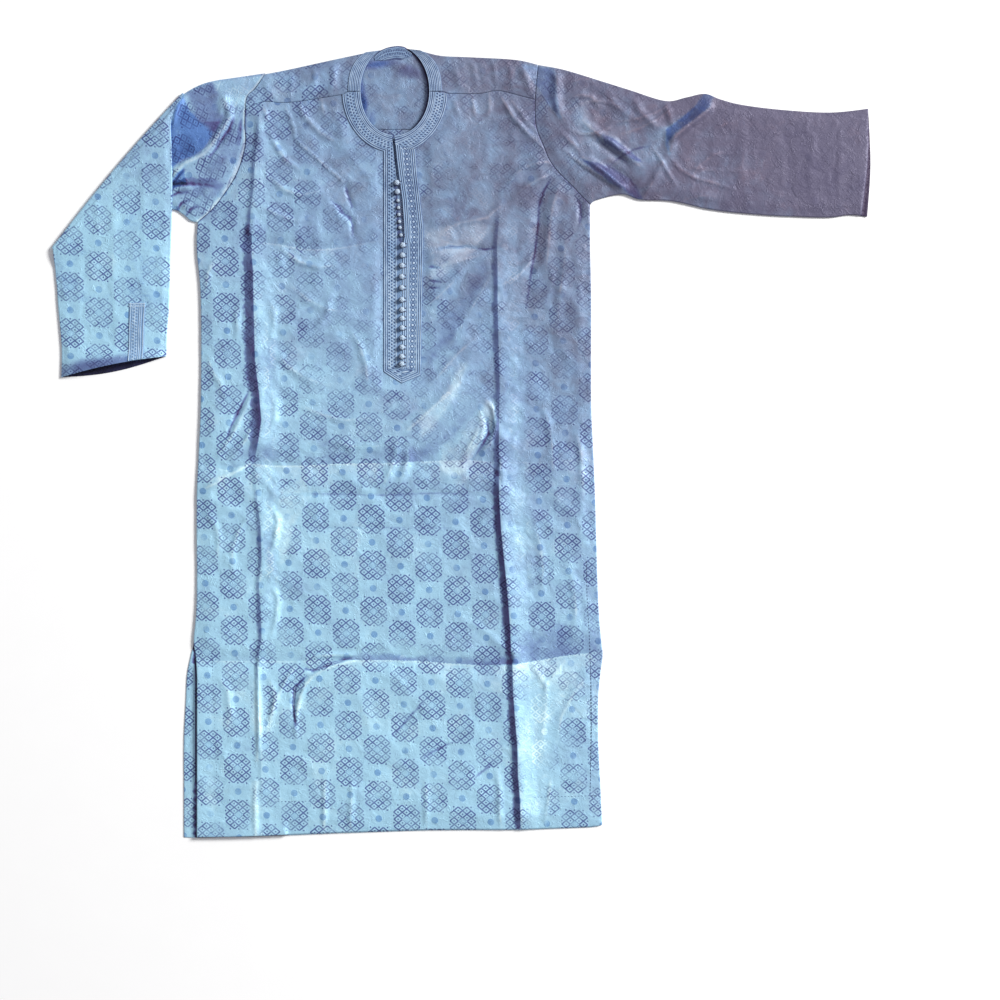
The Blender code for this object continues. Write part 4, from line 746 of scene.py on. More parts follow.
def nearest_on(knots, x, y):
    """For each point the distance to a line of knots, which side it is on (1 on the left),
    the knots' third number there, and how far along the line that is in mm."""
    nearest, side = np.full(len(x), 1e9), np.ones(len(x))
    third, place, walked = np.zeros(len(x)), np.zeros(len(x)), 0.0
    for (ax, ay, ah), (bx, by, bh) in zip(knots, knots[1:]):
        dx, dy = bx - ax, by - ay
        length = math.hypot(dx, dy)
        along = np.clip(((x - ax) * dx + (y - ay) * dy) / length ** 2, 0, 1)
        ox, oy = x - ax - along * dx, y - ay - along * dy
        distance = np.hypot(ox, oy)
        closer = distance < nearest
        nearest = np.where(closer, distance, nearest)
        side = np.where(closer, np.where(dx * oy - dy * ox > 0, 1, -1), side)
        third = np.where(closer, ah + (bh - ah) * along, third)
        place = np.where(closer, walked + along * length, place)
        walked += length
    return nearest, side, third, place


def near_line(knots, reach, x, y):
    """Which points are within reach of a line of knots' box."""
    low, high = knots[:, :2].min(0) - reach, knots[:, :2].max(0) + reach
    return np.flatnonzero((x > low[0]) & (x < high[0]) & (y > low[1]) & (y < high[1]))


def fold_rise(fold, x, y, edge):
    """How far one fold lifts the cloth at points in plan. edge is how round its crest is."""
    knots, rise = np.array(fold.knots, float), np.zeros(len(x))
    near = near_line(knots, max(fold.left, fold.right), x, y)
    if not len(near):
        return rise
    distance, side, height, _place = nearest_on(knots, x[near], y[near])
    out = np.clip(distance / np.where(side > 0, fold.left, fold.right), 0, 1)
    profile = math.sqrt(1 + edge ** 2) - np.sqrt(out ** 2 + edge ** 2)
    profile /= math.sqrt(1 + edge ** 2) - edge
    rise[near] = height * profile * (1 - 0.3 * eased(out))
    return rise


def folds_rise(folds, x, y, edge=SOFT_EDGE):
    total = np.zeros(len(x))
    for fold in folds:
        total += fold_rise(fold, x, y, edge)
    return total


def creases_rise(folds, x, y):
    """As folds_rise, with the narrow creases raised the most."""
    narrow = [fold for fold in folds if fold.left + fold.right < NARROW]
    wide = [fold for fold in folds if fold.left + fold.right >= NARROW]
    return 1.6 * folds_rise(narrow, x, y) + 1.1 * folds_rise(wide, x, y)


def pleat_painted_light(x, y):
    """Painted shade on the steep side of a pressed pleat, which lies away from the light, and a
    painted highlight along its crest."""
    tone = np.zeros(len(x))
    for fold in PRESSED_FOLDS:
        knots = np.array(fold.knots, float)
        near = near_line(knots, fold.right + 4.0, x, y)
        distance, side, height, place = nearest_on(knots, x[near], y[near])
        uneven = 1 + 0.3 * soft_noise(place, place * 0.3, 17.0, 61)
        uneven += 0.25 * soft_noise(place, distance * 0.5, 5.0, 62)
        strength = np.clip(height / 4.2, 0, 1.15)
        foot = fold.right * uneven * (0.55 + 0.45 * strength)
        steep = (side < 0) * (1 - eased((distance - foot + 0.8) / 1.6)) * strength
        crest = (side > 0) * (1 - eased(distance / 3.5)) * strength
        fade = 1 - 0.2 * np.clip(distance / fold.right, 0, 1)
        tone[near] += 0.5 * crest * uneven - 1.5 * steep * fade
    return tone


# Painted light on creases, a highlight on a crest and shade in a trough: how wide it is on a
# crest and in a trough, and how strong on a crest, in a trough and in a sharp trough, one less
# than SHARP across.
CREST_WIDTH, TROUGH_WIDTH = 2.8, 2.6
CREST_HIGHLIGHT, TROUGH_SHADE, SHARP_SHADE, SHARP = 0.6, 1.4, 2.2, 9


def crease_painted_light(folds, x, y):
    """A painted highlight along the crests of creases, and painted shade in their troughs."""
    tone = np.zeros(len(x))
    for fold in folds:
        knots = np.array(fold.knots, float)
        near = near_line(knots, 5.0, x, y)
        if len(near):
            distance, _side, height, place = nearest_on(knots, x[near], y[near])
            uneven = 1 + 0.7 * soft_noise(place, place * 0.3, 13.0, 63)
            strength = np.clip(height / 1.3, -1.3, 1.0) * uneven
            line = 1 - eased(distance / np.where(height > 0, CREST_WIDTH, TROUGH_WIDTH))
            deep = SHARP_SHADE if fold.left + fold.right < SHARP else TROUGH_SHADE
            tone[near] += np.where(height > 0, CREST_HIGHLIGHT, deep) * strength * line
    return tone


def seam_tone(path, x, y, strength):
    """The line of a seam, pale where strength is above 0 and dark where it is below."""
    knots = np.array([(p[0], p[1], 1.0) for p in path])
    tone, near = np.zeros(len(x)), near_line(knots, 6.0, x, y)
    if len(near):
        distance, _side, _third, place = nearest_on(knots, x[near], y[near])
        uneven = 1 + 0.5 * soft_noise(place, distance, 11.0, 65)
        tone[near] = strength * ((1 - eased(distance / 3.4)) * uneven)
    return tone


def press_painted_light(lines, x, y):
    """Painted light and shade on either side of the sharp lines that were pressed across the
    cloth, and a painted highlight just below each line.
    """
    tone = np.zeros(len(x))
    for line in lines:
        knots = np.array(line.knots, float)
        near = near_line(knots, max(line.above_reach, line.below_reach), x, y)
        distance, side, share, place = nearest_on(knots, x[near], y[near])
        uneven = 1 + 0.6 * soft_noise(place, distance * 0.4, 38.0, 71)
        above = line.above * np.clip(1 - distance / (line.above_reach * uneven), 0, 1) ** 0.5
        below = line.below * np.clip(1 - distance / (line.below_reach * uneven), 0, 1) ** 0.6
        lit = 0.5 * (1 - eased(distance / 2.4)) * (side < 0)
        tone[near] += share * (np.where(side > 0, above, below) + lit)
    return tone


def pucker_rise(x, y):
    """Small ripples across the seams, where the thread has drawn the cloth in."""
    rise = np.zeros(len(x))
    for side, depth in (("front_right", 1.0), ("left", 2.1)):
        off = np.abs(x - path_x(SIDES_IN_PLAN[side], y))
        ripple = soft_noise(x / 3.2, y, 7.5, 81) + 0.5 * soft_noise(x / 2.0, y, 4.5, 82)
        rise += depth * 0.45 * ripple * (1 - eased(off / 26.0)) * (y < UNDERARM_HEIGHT)
    return rise


def neck_rise(x, y):
    """The front edge of the neck stands a little off the back, level with the shoulders."""
    out = oval_share(NECK_HOLE, x, y) - 1
    fade = 1 - eased(out * NECK_HOLE.half_width / NECK_RISE_REACH)
    fold_height = on_oval(NECK_HOLE, NECK_FOLD_LEFT).y
    return NECK_RISE * fade * eased((fold_height - y) / NECK_RISE_START)


def embroidered(x, y):
    """1 on the stiff embroidered front, where the cloth lies flat, and 0 away from it."""
    off_side = np.maximum(np.abs(x - PLACKET_MIDDLE) - PLACKET_HALF, 0)
    off_end = np.maximum(y - PLACKET_TOP, 0) + np.maximum(PLACKET_BOTTOM - y, 0)
    off_placket = np.hypot(off_side, off_end)
    off_neck = np.maximum(oval_share(FRONT_BORDER, x, y) - 1, 0) * FRONT_BORDER.half_width
    return 1 - eased(np.minimum(off_placket, off_neck) / 16.0)


def rough_share(x, y):
    """Where the cloth is most crumpled: beside the pleats and across the hem."""
    share = np.zeros(len(x))
    for zone in ROUGH_ZONES:
        share += zone_share(zone, x, y) * zone.tone
    return np.clip(share, 0.0, 1.4)


def crumple_rise(x, y, seed, depth=1.0, rough=0.0):
    """Irregular small creases: a few sizes on top of each other, stronger in patches."""
    patch = np.clip(0.5 + 0.9 * soft_noise(x, y, 140.0, seed), 0.05, 1.2) * depth
    rise = 1.1 * crumple(x, y, 75.0, seed + 10) * (0.4 + patch)
    rise += 0.45 * crumple(x, y, 34.0, seed + 20) * patch
    rise += (0.9 * crumple(x, y, 26.0, seed + 50) + 0.5 * crumple(x, y, 12.0, seed + 30)) * rough
    return rise


def front_rise(x, y):
    """How far the front and the yoke's front halves stand above their flat solid."""
    calm = 1 - 0.92 * embroidered(x, y)
    broad = 1.5 + 1.2 * soft_noise(x, y, 150.0, 3) + 0.7 * soft_noise(x, y, 75.0, 4)
    rise = np.maximum(broad, 0.4) * calm
    rise += crumple_rise(x, y, 50, 1.0, rough_share(x, y)) * calm
    rise += folds_rise(PRESSED_FOLDS, x, y, SHARP_EDGE) * 1.1 + pucker_rise(x, y)
    rise += (creases_rise(FRONT_CREASES, x, y) + folds_rise(YOKE_CREASES, x, y) * 0.8) * calm
    return rise + neck_rise(x, y)


def sleeve_left_rise(x, y):
    calm = 1 - 0.75 * eased((x - 330.0) / 90.0)
    broad = 1.4 + (1.1 * soft_noise(x, y, 120.0, 13) + 0.5 * soft_noise(x, y, 60.0, 14)) * calm
    return np.maximum(broad, 0.4) + crumple_rise(x, y, 150, 0.8) * calm \
        + folds_rise(SLEEVE_LEFT_CREASES, x, y) * (0.2 + 1.1 * calm)


def upper_arm_rise(x, y):
    broad = 1.0 + 0.8 * soft_noise(x, y, 90.0, 23)
    return np.maximum(broad, 0.3) + crumple_rise(x, y, 250, 0.9) \
        + creases_rise(UPPER_ARM_CREASES, x, y) * 1.2


def forearm_rise(x, y):
    broad = 1.0 + 0.8 * soft_noise(x, y, 100.0, 33)
    return np.maximum(broad, 0.3) + crumple_rise(x, y, 350, 0.4) \
        + folds_rise(FOREARM_CREASES, x, y) * 0.6


# ---------------------------------------------------------------- fine shells

# The usual distance between points and how tall a row of triangles is for its step, the
# rings of points just inside an outline, and how the cloth is rounded, tucked under and
# pressed down at its edge. Points on crease lines keep LINE_CLEAR from each other.
STEP, ROW_HEIGHT = 2.6, 0.866
EDGE_RINGS = (0.7, 1.9)
EDGE_ROUND, EDGE_DROP = 1.0, 0.5
LIP_DROPS, LIP_INSET = (0.55, 0.8), 0.9
EDGE_PRESSED, EDGE_RISE_LEFT = 22.0, 0.25
LINE_CLEAR = 0.9


class Shell:
    """A mesh in the making: points, faces, cloth coordinates and the tone, tint and motif of each
    point, whose tone holds painted light and shade.
    """

    def __init__(self):
        self.points, self.faces, self.weave, self.tone_tint_motif = [], [], [], []
        self.count = 0

    def add(self, points, faces, weave=None, tone_tint_motif=None):
        """Adds a block of points with its faces. Returns the block's first index."""
        points = np.asarray(points, float)
        start, self.count = self.count, self.count + len(points)
        self.points.append(points)
        self.faces += [tuple(start + i for i in face) for face in faces]
        self.weave.append(points[:, :2] if weave is None else weave)
        self.tone_tint_motif.append(np.zeros((len(points), 3)) if tone_tint_motif is None else tone_tint_motif)
        return start

    def build(self, name, material):
        points = np.vstack(self.points) * METRES
        data = bpy.data.meshes.new(name)
        data.from_pydata(points.tolist(), [], self.faces)
        weave = np.vstack(self.weave)
        corners = np.empty(len(data.loops), int)
        data.loops.foreach_get("vertex_index", corners)
        layer = data.uv_layers.new(name="weave")
        layer.uv.foreach_set("vector", (weave[corners] * METRES).astype("f").ravel())
        tone_tint_motif = data.attributes.new("tone_tint_motif", "FLOAT_VECTOR", "POINT")
        tone_tint_motif.data.foreach_set("vector", np.vstack(self.tone_tint_motif).astype("f").ravel())
        data.polygons.foreach_set("use_smooth", [True] * len(data.polygons))
        data.materials.append(material)
        data.validate()
        thing = bpy.data.objects.new(name, data)
        bpy.context.scene.collection.objects.link(thing)
        return thing


def ride(thing, slot, *nodes):
    """The piece rides on the one body and stands for its CAD nodes."""
    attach(thing, "root")
    if nodes:
        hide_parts(*nodes)
    return thing


def crease_lines(folds):
    """A row of places along the crest of each crease."""
    return [knot_path(fold, 2.4) for fold in folds]


def pleat_lines():
    """Rows on either side of a pleat's crest and of the foot of its steep side, and on
    either side of the press lines."""
    lines = []
    for fold in PRESSED_FOLDS:
        path = knot_path(fold, 2.0)
        lines += [beside(path, off) for off in (0.8, -0.8, 0.9 - fold.right, -0.9 - fold.right)]
    for line in PRESS_LINES:
        path = knot_path(line, 2.2)
        lines += [beside(path, off) for off in (0.8, -0.8)]
    return lines


class Plan:
    """Triangles over a closed outline: its own points first, then rings just inside it, and
    a staggered grid."""

    def __init__(self, outline, step, lines=()):
        self.edge = [Vector((p[0], p[1])) for p in outline]
        self.size = len(self.edge)
        self.tree = kdtree.KDTree(self.size * 4)
        for i, (a, b) in enumerate(zip(self.edge, self.edge[1:] + self.edge[:1])):
            for part in range(4):
                point = a.lerp(b, part / 4)
                self.tree.insert((point.x, point.y, 0), i * 4 + part)
        self.tree.balance()
        points = [tuple(p) for p in self.edge]
        closed = [self.edge[-1], *self.edge, self.edge[0]]
        for ring in EDGE_RINGS:
            for before, here, after in zip(closed, closed[1:], closed[2:]):
                along = (after - before).normalized()
                point = here + Vector((-along.y, along.x)) * ring
                if self.to_edge(point) > ring * 0.85 and inside(self.edge, point):
                    points.append(tuple(point))
        points += self.on_lines(lines, step)
        points += self.grid(step, EDGE_RINGS[-1] + 0.45 * step)
        segments = [(i, (i + 1) % self.size) for i in range(self.size)]
        found = geometry.delaunay_2d_cdt([Vector(p) for p in points], segments, [], 0, 1e-5)
        self.points = np.array([(p.x, p.y) for p in found[0]])
        self.faces = [tuple(face) for face in found[2] if self.kept(face)]
        self.distance = np.array([self.to_edge(p) for p in self.points.tolist()])

    def on_lines(self, lines, step):
        """Points along crease lines, so that the mesh has an edge on each crest."""
        found = [tuple(p) for line in lines for p in line]
        found = [p for p in found if self.to_edge(p) > step and inside(self.edge, p)]
        kept, taken = [], {}
        for point in found:
            cell = (round(point[0] / LINE_CLEAR), round(point[1] / LINE_CLEAR))
            if taken.setdefault(cell, point) is point:
                kept.append(point)
        self.line_tree = kdtree.KDTree(max(1, len(kept)))
        for i, point in enumerate(kept or [(1e6, 1e6)]):
            self.line_tree.insert((*point, 0), i)
        self.line_tree.balance()
        return kept

    def to_line(self, point):
        return self.line_tree.find((point[0], point[1], 0))[2]

    def to_edge(self, point):
        return self.tree.find((point[0], point[1], 0))[2]

    def kept(self, face):
        """A face that touches only the outline may lie outside it."""
        if max(face) >= self.size:
            return True
        return inside(self.edge, self.points[list(face)].mean(0))

    def grid(self, step, clear):
        """Staggered rows of points inside the outline, clear of its edge and of the lines."""
        ends = np.array([(p.x, p.y) for p in self.edge])
        nexts = np.roll(ends, -1, 0)
        low, high = ends.min(0), ends.max(0)
        kept, rows = [], int((high[1] - low[1]) / (step * ROW_HEIGHT)) + 1
        for row in range(rows):
            y = low[1] + row * step * ROW_HEIGHT
            crossing = (ends[:, 1] > y) != (nexts[:, 1] > y)
            a, b = ends[crossing], nexts[crossing]
            cuts = np.sort(a[:, 0] + (y - a[:, 1]) / (b[:, 1] - a[:, 1]) * (b[:, 0] - a[:, 0]))
            xs = np.arange(low[0] + (row % 2) * step / 2, high[0], step)
            xs = xs[np.searchsorted(cuts, xs) % 2 == 1]
            kept += [(float(x), float(y)) for x in xs
                     if self.to_edge((x, y)) > clear and self.to_line((x, y)) > 0.62 * step]
        return kept


def edge_round(distance):
    """How far a rounded edge falls away at a distance from the edge line."""
    out = np.clip(1 - distance / EDGE_ROUND, 0, 1)
    return EDGE_DROP * (1 - np.sqrt(1 - out ** 2))


def add_lip(shell, plan, start, tops, chosen):
    """The thickness of the cloth at its edge: the outline again, lower, and tucked under.
    chosen says which points of the outline are on such an edge."""
    rows = [list(range(start, start + plan.size))]
    closed = [plan.edge[-1], *plan.edge, plan.edge[0]]
    inward = []
    for before, after in zip(closed, closed[2:]):
        along = (after - before).normalized()
        inward.append((-along.y, along.x))
    inward = np.array(inward)
    base = np.array([(p.x, p.y) for p in plan.edge])
    for drop, inset in zip(LIP_DROPS, (0.0, LIP_INSET)):
        block = np.column_stack([base + inward * inset, tops[:plan.size] - drop])
        first = shell.add(block, [])
        rows.append(list(range(first, first + plan.size)))
    for here, there in zip(rows, rows[1:]):
        for i in range(plan.size):
            j = (i + 1) % plan.size
            if chosen[i] and chosen[j]:
                shell.faces.append((here[i], there[i], there[j], here[j]))


# ----------------------------------------------------- cloth grain, tint and painted light
# The damask repeats on a lattice: row is the step to the next column of medallions, and
# column the step to the next medallion down a column.

Lattice = namedtuple("Lattice", "origin row column")
ROW_PITCH, COLUMN_REPEAT = 40.0, 65.8
BODY_LATTICE = Lattice((-86.8, -210.2), (40.0, -1.2), (1.6, -65.8))
YOKE_LATTICE = Lattice((-250.0, 520.0), (40.0, 1.4), (1.8, -66.3))
SLEEVE_LEFT_LATTICE = Lattice((330.0, 420.0), (3.2, 39.9), (66.1, -5.3))
UPPER_ARM_LATTICE = Lattice((-340.0, 440.0), (-13.0, 38.0), (-63.0, -21.0))
FOREARM_LATTICE = Lattice((-519.0, 250.9), (41.2, -3.6), (0.6, -66.0))


def weave_of(lattice, x, y):
    """Cloth coordinates in mm: across the columns of medallions, and along them."""
    (rx, ry), (cx, cy) = lattice.row, lattice.column
    dx, dy = x - lattice.origin[0], y - lattice.origin[1]
    area = rx * cy - ry * cx
    across = (dx * cy - dy * cx) / area
    along = (rx * dy - ry * dx) / area
    return np.column_stack([across * ROW_PITCH, along * COLUMN_REPEAT])


# A zone is a soft oval where the cloth's look differs: tone is painted light or shade, lighter
# or darker, tint shifts along the painted shade from the bluer hem (less than 0) to the greyer
# sleeve, and motif makes the damask fainter or, below -1, light on dark, a painted highlight.
Zone = namedtuple("Zone", "x y half_width half_height turn tone tint motif")
BODY_ZONES = (
    Zone(30, 450, 110, 60, 0, 0.0, 0.0, -0.75),
    Zone(-200, 430, 90, 60, 0, 0.0, 0.0, -0.5),
    Zone(-150, 300, 120, 130, 0, 0.0, 0.02, -0.75),
    Zone(-160, 130, 110, 120, 0, -0.04, 0.0, -0.6),
    Zone(30, 300, 100, 120, 0, 0.02, 0.08, -0.95),
    Zone(-10, 110, 60, 140, -25, 0.05, 0.0, -0.7),
    Zone(-20, 40, 50, 100, -35, 0.0, 0.0, -0.5),
    Zone(-275, 60, 16, 220, 0, -0.42, -0.05, -1.9),
    Zone(-272, -160, 15, 110, 0, -0.20, -0.05, -1.9),
    Zone(75, 100, 18, 240, 0, -0.14, -0.04, -1.6),
    Zone(88, -150, 18, 130, 0, -0.04, -0.05, -1.6),
    Zone(105, -440, 26, 120, 0, 0.10, -0.05, -1.4),
    Zone(130, -410, 60, 130, 0, 0.06, -0.08, -0.5),
    Zone(-150, -420, 220, 120, 0, 0.10, -0.06, 0.0),
    Zone(150, -120, 60, 150, 0, 0.05, -0.07, 0.0),
    Zone(-110, -180, 140, 110, 0, 0.0, 0.0, 0.15),
    Zone(140, 120, 50, 190, 0, -0.02, 0.05, -0.35),
    Zone(-90, -304, 90, 14, 0, -0.10, -0.16, -1.1),
    Zone(-220, -350, 40, 60, 0, 0.0, -0.16, 0.0),
    Zone(-15, 400, 60, 110, 0, 0.0, 0.0, -0.5),
    Zone(-130, -20, 150, 10, 0, -0.10, 0.0, -0.2),
)
YOKE_ZONES = (
    Zone(40, 525, 90, 40, 0, 0.34, 0.02, -0.3),
    Zone(-122, 540, 38, 8, 8, -1.3, -0.19, 0.0),
    Zone(-138, 482, 7, 14, 0, -0.9, -0.15, 0.0),
    Zone(-129, 464, 8, 12, 0, -0.8, -0.14, 0.0),
    Zone(-143, 500, 6, 46, 4, -1.0, -0.17, 0.0),
    Zone(-75, 530, 30, 12, -20, -0.8, 0.1, 0.0),
    Zone(-240, 510, 70, 30, 0, 0.10, -0.05, -0.2),
    Zone(-90, 500, 55, 70, 0, -0.08, -0.04, -0.45),
)
SLEEVE_LEFT_ZONES = (
    Zone(176, 450, 14, 44, 22, 0.10, -0.18, -0.3),
    Zone(275, 405, 40, 26, 30, 0.06, -0.17, -0.2),
    Zone(160, 400, 20, 34, 30, 0.10, -0.12, -0.2),
    Zone(285, 440, 12, 44, -50, 0.10, -0.17, 0.0),
    Zone(330, 400, 240, 110, 0, 0.03, 0.0, -0.75),
    Zone(200, 420, 70, 80, 0, 0.05, -0.05, -0.2),
    Zone(540, 400, 90, 100, 0, -0.10, 0.03, -0.55),
    Zone(220, 460, 90, 70, 0, 0.12, 0.0, 0.0),
)
UPPER_ARM_ZONES = (
    Zone(-340, 400, 70, 80, -30, -0.50, 0.04, -0.25),
    Zone(-320, 515, 40, 18, 0, 0.10, 0.0, -0.6),
)
FOREARM_ZONES = (
    Zone(-480, 360, 90, 110, 0, -0.16, 0.0, -0.1),
    Zone(-500, 240, 110, 130, 0, -0.07, -0.45, -0.2),
    Zone(-520, 108, 80, 14, 8, -1.0, 0.45, -0.4),
)


# Here tone is how rough the cloth is.
ROUGH_ZONES = (
    Zone(-272, 120, 20, 200, 0, 1.0, 0, 0),
    Zone(-270, -170, 18, 120, 0, 1.0, 0, 0),
    Zone(-345, 60, 26, 230, 0, 0.7, 0, 0),
    Zone(-350, -450, 30, 110, 0, 0.5, 0, 0),
    Zone(-345, -180, 26, 120, 0, 0.5, 0, 0),
    Zone(78, 60, 22, 240, 0, 0.8, 0, 0),
    Zone(95, -160, 20, 120, 0, 0.7, 0, 0),
    Zone(110, -440, 30, 120, 0, 0.6, 0, 0),
    Zone(180, 0, 18, 300, 0, 0.7, 0, 0),
    Zone(190, -400, 16, 150, 0, 0.6, 0, 0),
    Zone(-90, -45, 120, 26, 0, 0.7, 0, 0),
    Zone(-230, -25, 60, 26, 0, 0.8, 0, 0),
    Zone(-220, 300, 60, 120, 0, 0.5, 0, 0),
    Zone(-120, -520, 240, 40, 0, 0.4, 0, 0),
    Zone(60, 230, 26, 80, 0, 0.6, 0, 0),
)


# A facet is a flat of cloth between creases, with its corners in plan, and its tone is painted
# light or shade, as it tilts towards or away from the light. soft is how wide its border is.
Facet = namedtuple("Facet", "tone tint motif soft corners")
SLEEVE_LEFT_FACETS = (
    Facet(-0.75, -0.14, -0.3, 3.0, (
        (84, 540), (133, 533), (136, 496), (142, 459), (124, 480), (106, 509),
    )),
    Facet(-0.80, -0.20, -0.3, 3.0, (
        (344, 498), (362, 496), (357, 480), (331, 459), (303, 439), (295, 427), (297, 408),
        (290, 425), (291, 447), (313, 463), (334, 482),
    )),
    Facet(-1.45, -0.10, -0.3, 3.0, (
        (169, 404), (195, 398), (218, 388), (240, 374), (258, 347), (246, 348), (230, 360),
        (211, 370), (191, 386),
    )),
    Facet(-1.35, -0.08, -0.2, 3.0, (
        (197, 440), (215, 434), (234, 420), (258, 400), (246, 401), (226, 413), (203, 427),
    )),
)
UPPER_ARM_FACETS = (
    Facet(-0.95, -0.24, -0.2, 6.0, (
        (-398, 498), (-388, 474), (-372, 460), (-344, 458), (-356, 436), (-368, 418),
        (-382, 408), (-400, 402), (-423, 384), (-424, 430), (-420, 470),
    )),
    Facet(-0.75, 0.08, -0.4, 10.0, (
        (-394, 501), (-356, 514), (-347, 497), (-351, 479), (-339, 464), (-354, 440),
        (-376, 458),
    )),
    Facet(-1.0, -0.24, -0.4, 3.0, (
        (-422, 370), (-408, 384), (-396, 392), (-392, 368), (-422, 358),
    )),
    Facet(0.05, -0.10, -1.2, 5.0, (
        (-358, 515), (-284, 524), (-308, 494), (-310, 478), (-335, 484), (-350, 499),
    )),
    Facet(-0.28, 0.05, -0.4, 9.0, (
        (-420, 350), (-398, 366), (-330, 368), (-312, 420), (-308, 400), (-316, 372),
        (-332, 352), (-372, 350),
    )),
)
BODY_FACETS = (
    Facet(0.10, -0.04, -0.3, 4.0, (
        (73, -318), (101, -315), (120, -346), (147, -313), (185, -303), (185, -345),
        (150, -363), (126, -396), (117, -440), (96, -470), (84, -440), (80, -390),
    )),
    Facet(0.22, -0.03, -0.8, 4.0, (
        (-298, -320), (-287, -320), (-283, -400), (-286, -450), (-293, -462), (-297, -440),
        (-298, -380),
    )),
    Facet(0.28, -0.03, -0.8, 5.0, ((-302, -484), (-287, -482), (-284, -564), (-304, -564))),
    Facet(0.16, 0.0, -0.3, 6.0, (
        (-286, -270), (-250, -268), (-225, -300), (-246, -320), (-284, -322),
    )),
    Facet(0.20, 0.0, -0.5, 8.0, ((-365, -455), (-353, -455), (-350, -558), (-366, -558))),
    Facet(0.30, 0.0, -0.5, 5.0, (
        (-262, -70), (-228, -52), (-214, -75), (-240, -120), (-258, -190), (-268, -120),
    )),
    Facet(-0.16, -0.06, -0.2, 14.0, (
        (92, -190), (150, -150), (190, -250), (185, -302), (78, -314), (90, -250),
    )),
    Facet(-0.42, 0.0, -0.2, 24.0, (
        (-66, 118), (-46, 142), (-6, 207), (28, 264), (44, 250), (20, 196), (-12, 140),
        (-40, 110),
    )),
    Facet(-0.38, 0.0, -0.2, 20.0, (
        (-86, -12), (-50, 6), (-12, 28), (22, 54), (32, 40), (0, 8), (-40, -16), (-74, -32),
    )),
    Facet(0.6, -0.04, -0.3, 8.0, (
        (36, 59), (50, 63), (51, 31), (37, 3), (23, -19), (4, -42), (-10, -51), (-31, -40),
        (-31, -4), (-10, 10), (9, 31),
    )),
    Facet(0.45, -0.05, -0.3, 10.0, (
        (-60, 34), (-31, 60), (0, 114), (11, 114), (-10, 63), (-37, 24), (-60, 3),
    )),
    Facet(0.55, -0.05, -0.3, 12.0, (
        (-52, 300), (-17, 309), (23, 315), (44, 306), (23, 280), (0, 257), (-26, 237),
        (-51, 230), (-43, 255), (-52, 275),
    )),
)


def facet_painted_light_tint_motif(facets, x, y):
    """Painted light and shade (tone), tint and motif that the facets add at points in plan."""
    total = np.zeros((len(x), 3))
    for facet in facets:
        corners = [Vector(c) for c in facet.corners]
        closed = np.array([(*c, 0.0) for c in facet.corners + facet.corners[:1]])
        near = near_line(closed, facet.soft, x, y)
        if len(near):
            distance = nearest_on(closed, x[near], y[near])[0]
            within = np.array([inside(corners, p) for p in zip(x[near], y[near])])
            share = eased(0.5 + np.where(within, distance, -distance) / facet.soft)
            total[near] += share[:, None] * np.array([facet.tone, facet.tint, facet.motif])
    return total


def zone_share(zone, x, y):
    """How much of a zone's finish points take: 1 in its middle, 0 outside it."""
    turn = math.radians(zone.turn)
    dx, dy = x - zone.x, y - zone.y
    across = dx * math.cos(turn) + dy * math.sin(turn)
    along = dy * math.cos(turn) - dx * math.sin(turn)
    return 1 - eased(np.hypot(across / zone.half_width, along / zone.half_height) / 1.35)


def zone_painted_light_tint_motif(zones, x, y, motif=1.0):
    """Tone, tint and motif at points in plan: the zones' tone is painted light and shade."""
    total = np.zeros((len(x), 3))
    total[:, 2] = motif
    for zone in zones:
        total += zone_share(zone, x, y)[:, None] * np.array([zone.tone, zone.tint, zone.motif])
    return total


# ------------------------------------------------------------------ materials


def operator(operation, turned=False):
    """A method that gives a math node's operation on a value and others, or turned round."""
    def apply(self, *others):
        values = (self, *others)
        return self.graph.math(operation, *(values[::-1] if turned else values))
    return apply


class Value:
    """A number that a shader works out, so that node trees read as sums."""

    __add__, __mul__, __truediv__ = operator("ADD"), operator("MULTIPLY"), operator("DIVIDE")
    __sub__, __rsub__ = operator("SUBTRACT"), operator("SUBTRACT", turned=True)
    larger, smaller, size = operator("MAXIMUM"), operator("MINIMUM"), operator("ABSOLUTE")

    def __init__(self, graph, socket):
        self.graph, self.socket = graph, socket

    def rounded(self):
        return self.graph.math("FLOOR", self + 0.5)

    def above(self, low, high):
        """0 up to low, 1 from high, and smooth between."""
        node = self.graph.node("ShaderNodeMapRange", interpolation_type="SMOOTHSTEP")
        self.graph.put(node.inputs["Value"], self)
        node.inputs["From Min"].default_value = low
        node.inputs["From Max"].default_value = high
        return Value(self.graph, node.outputs["Result"])

    def below(self, low, high):
        return 1.0 - self.above(low, high)


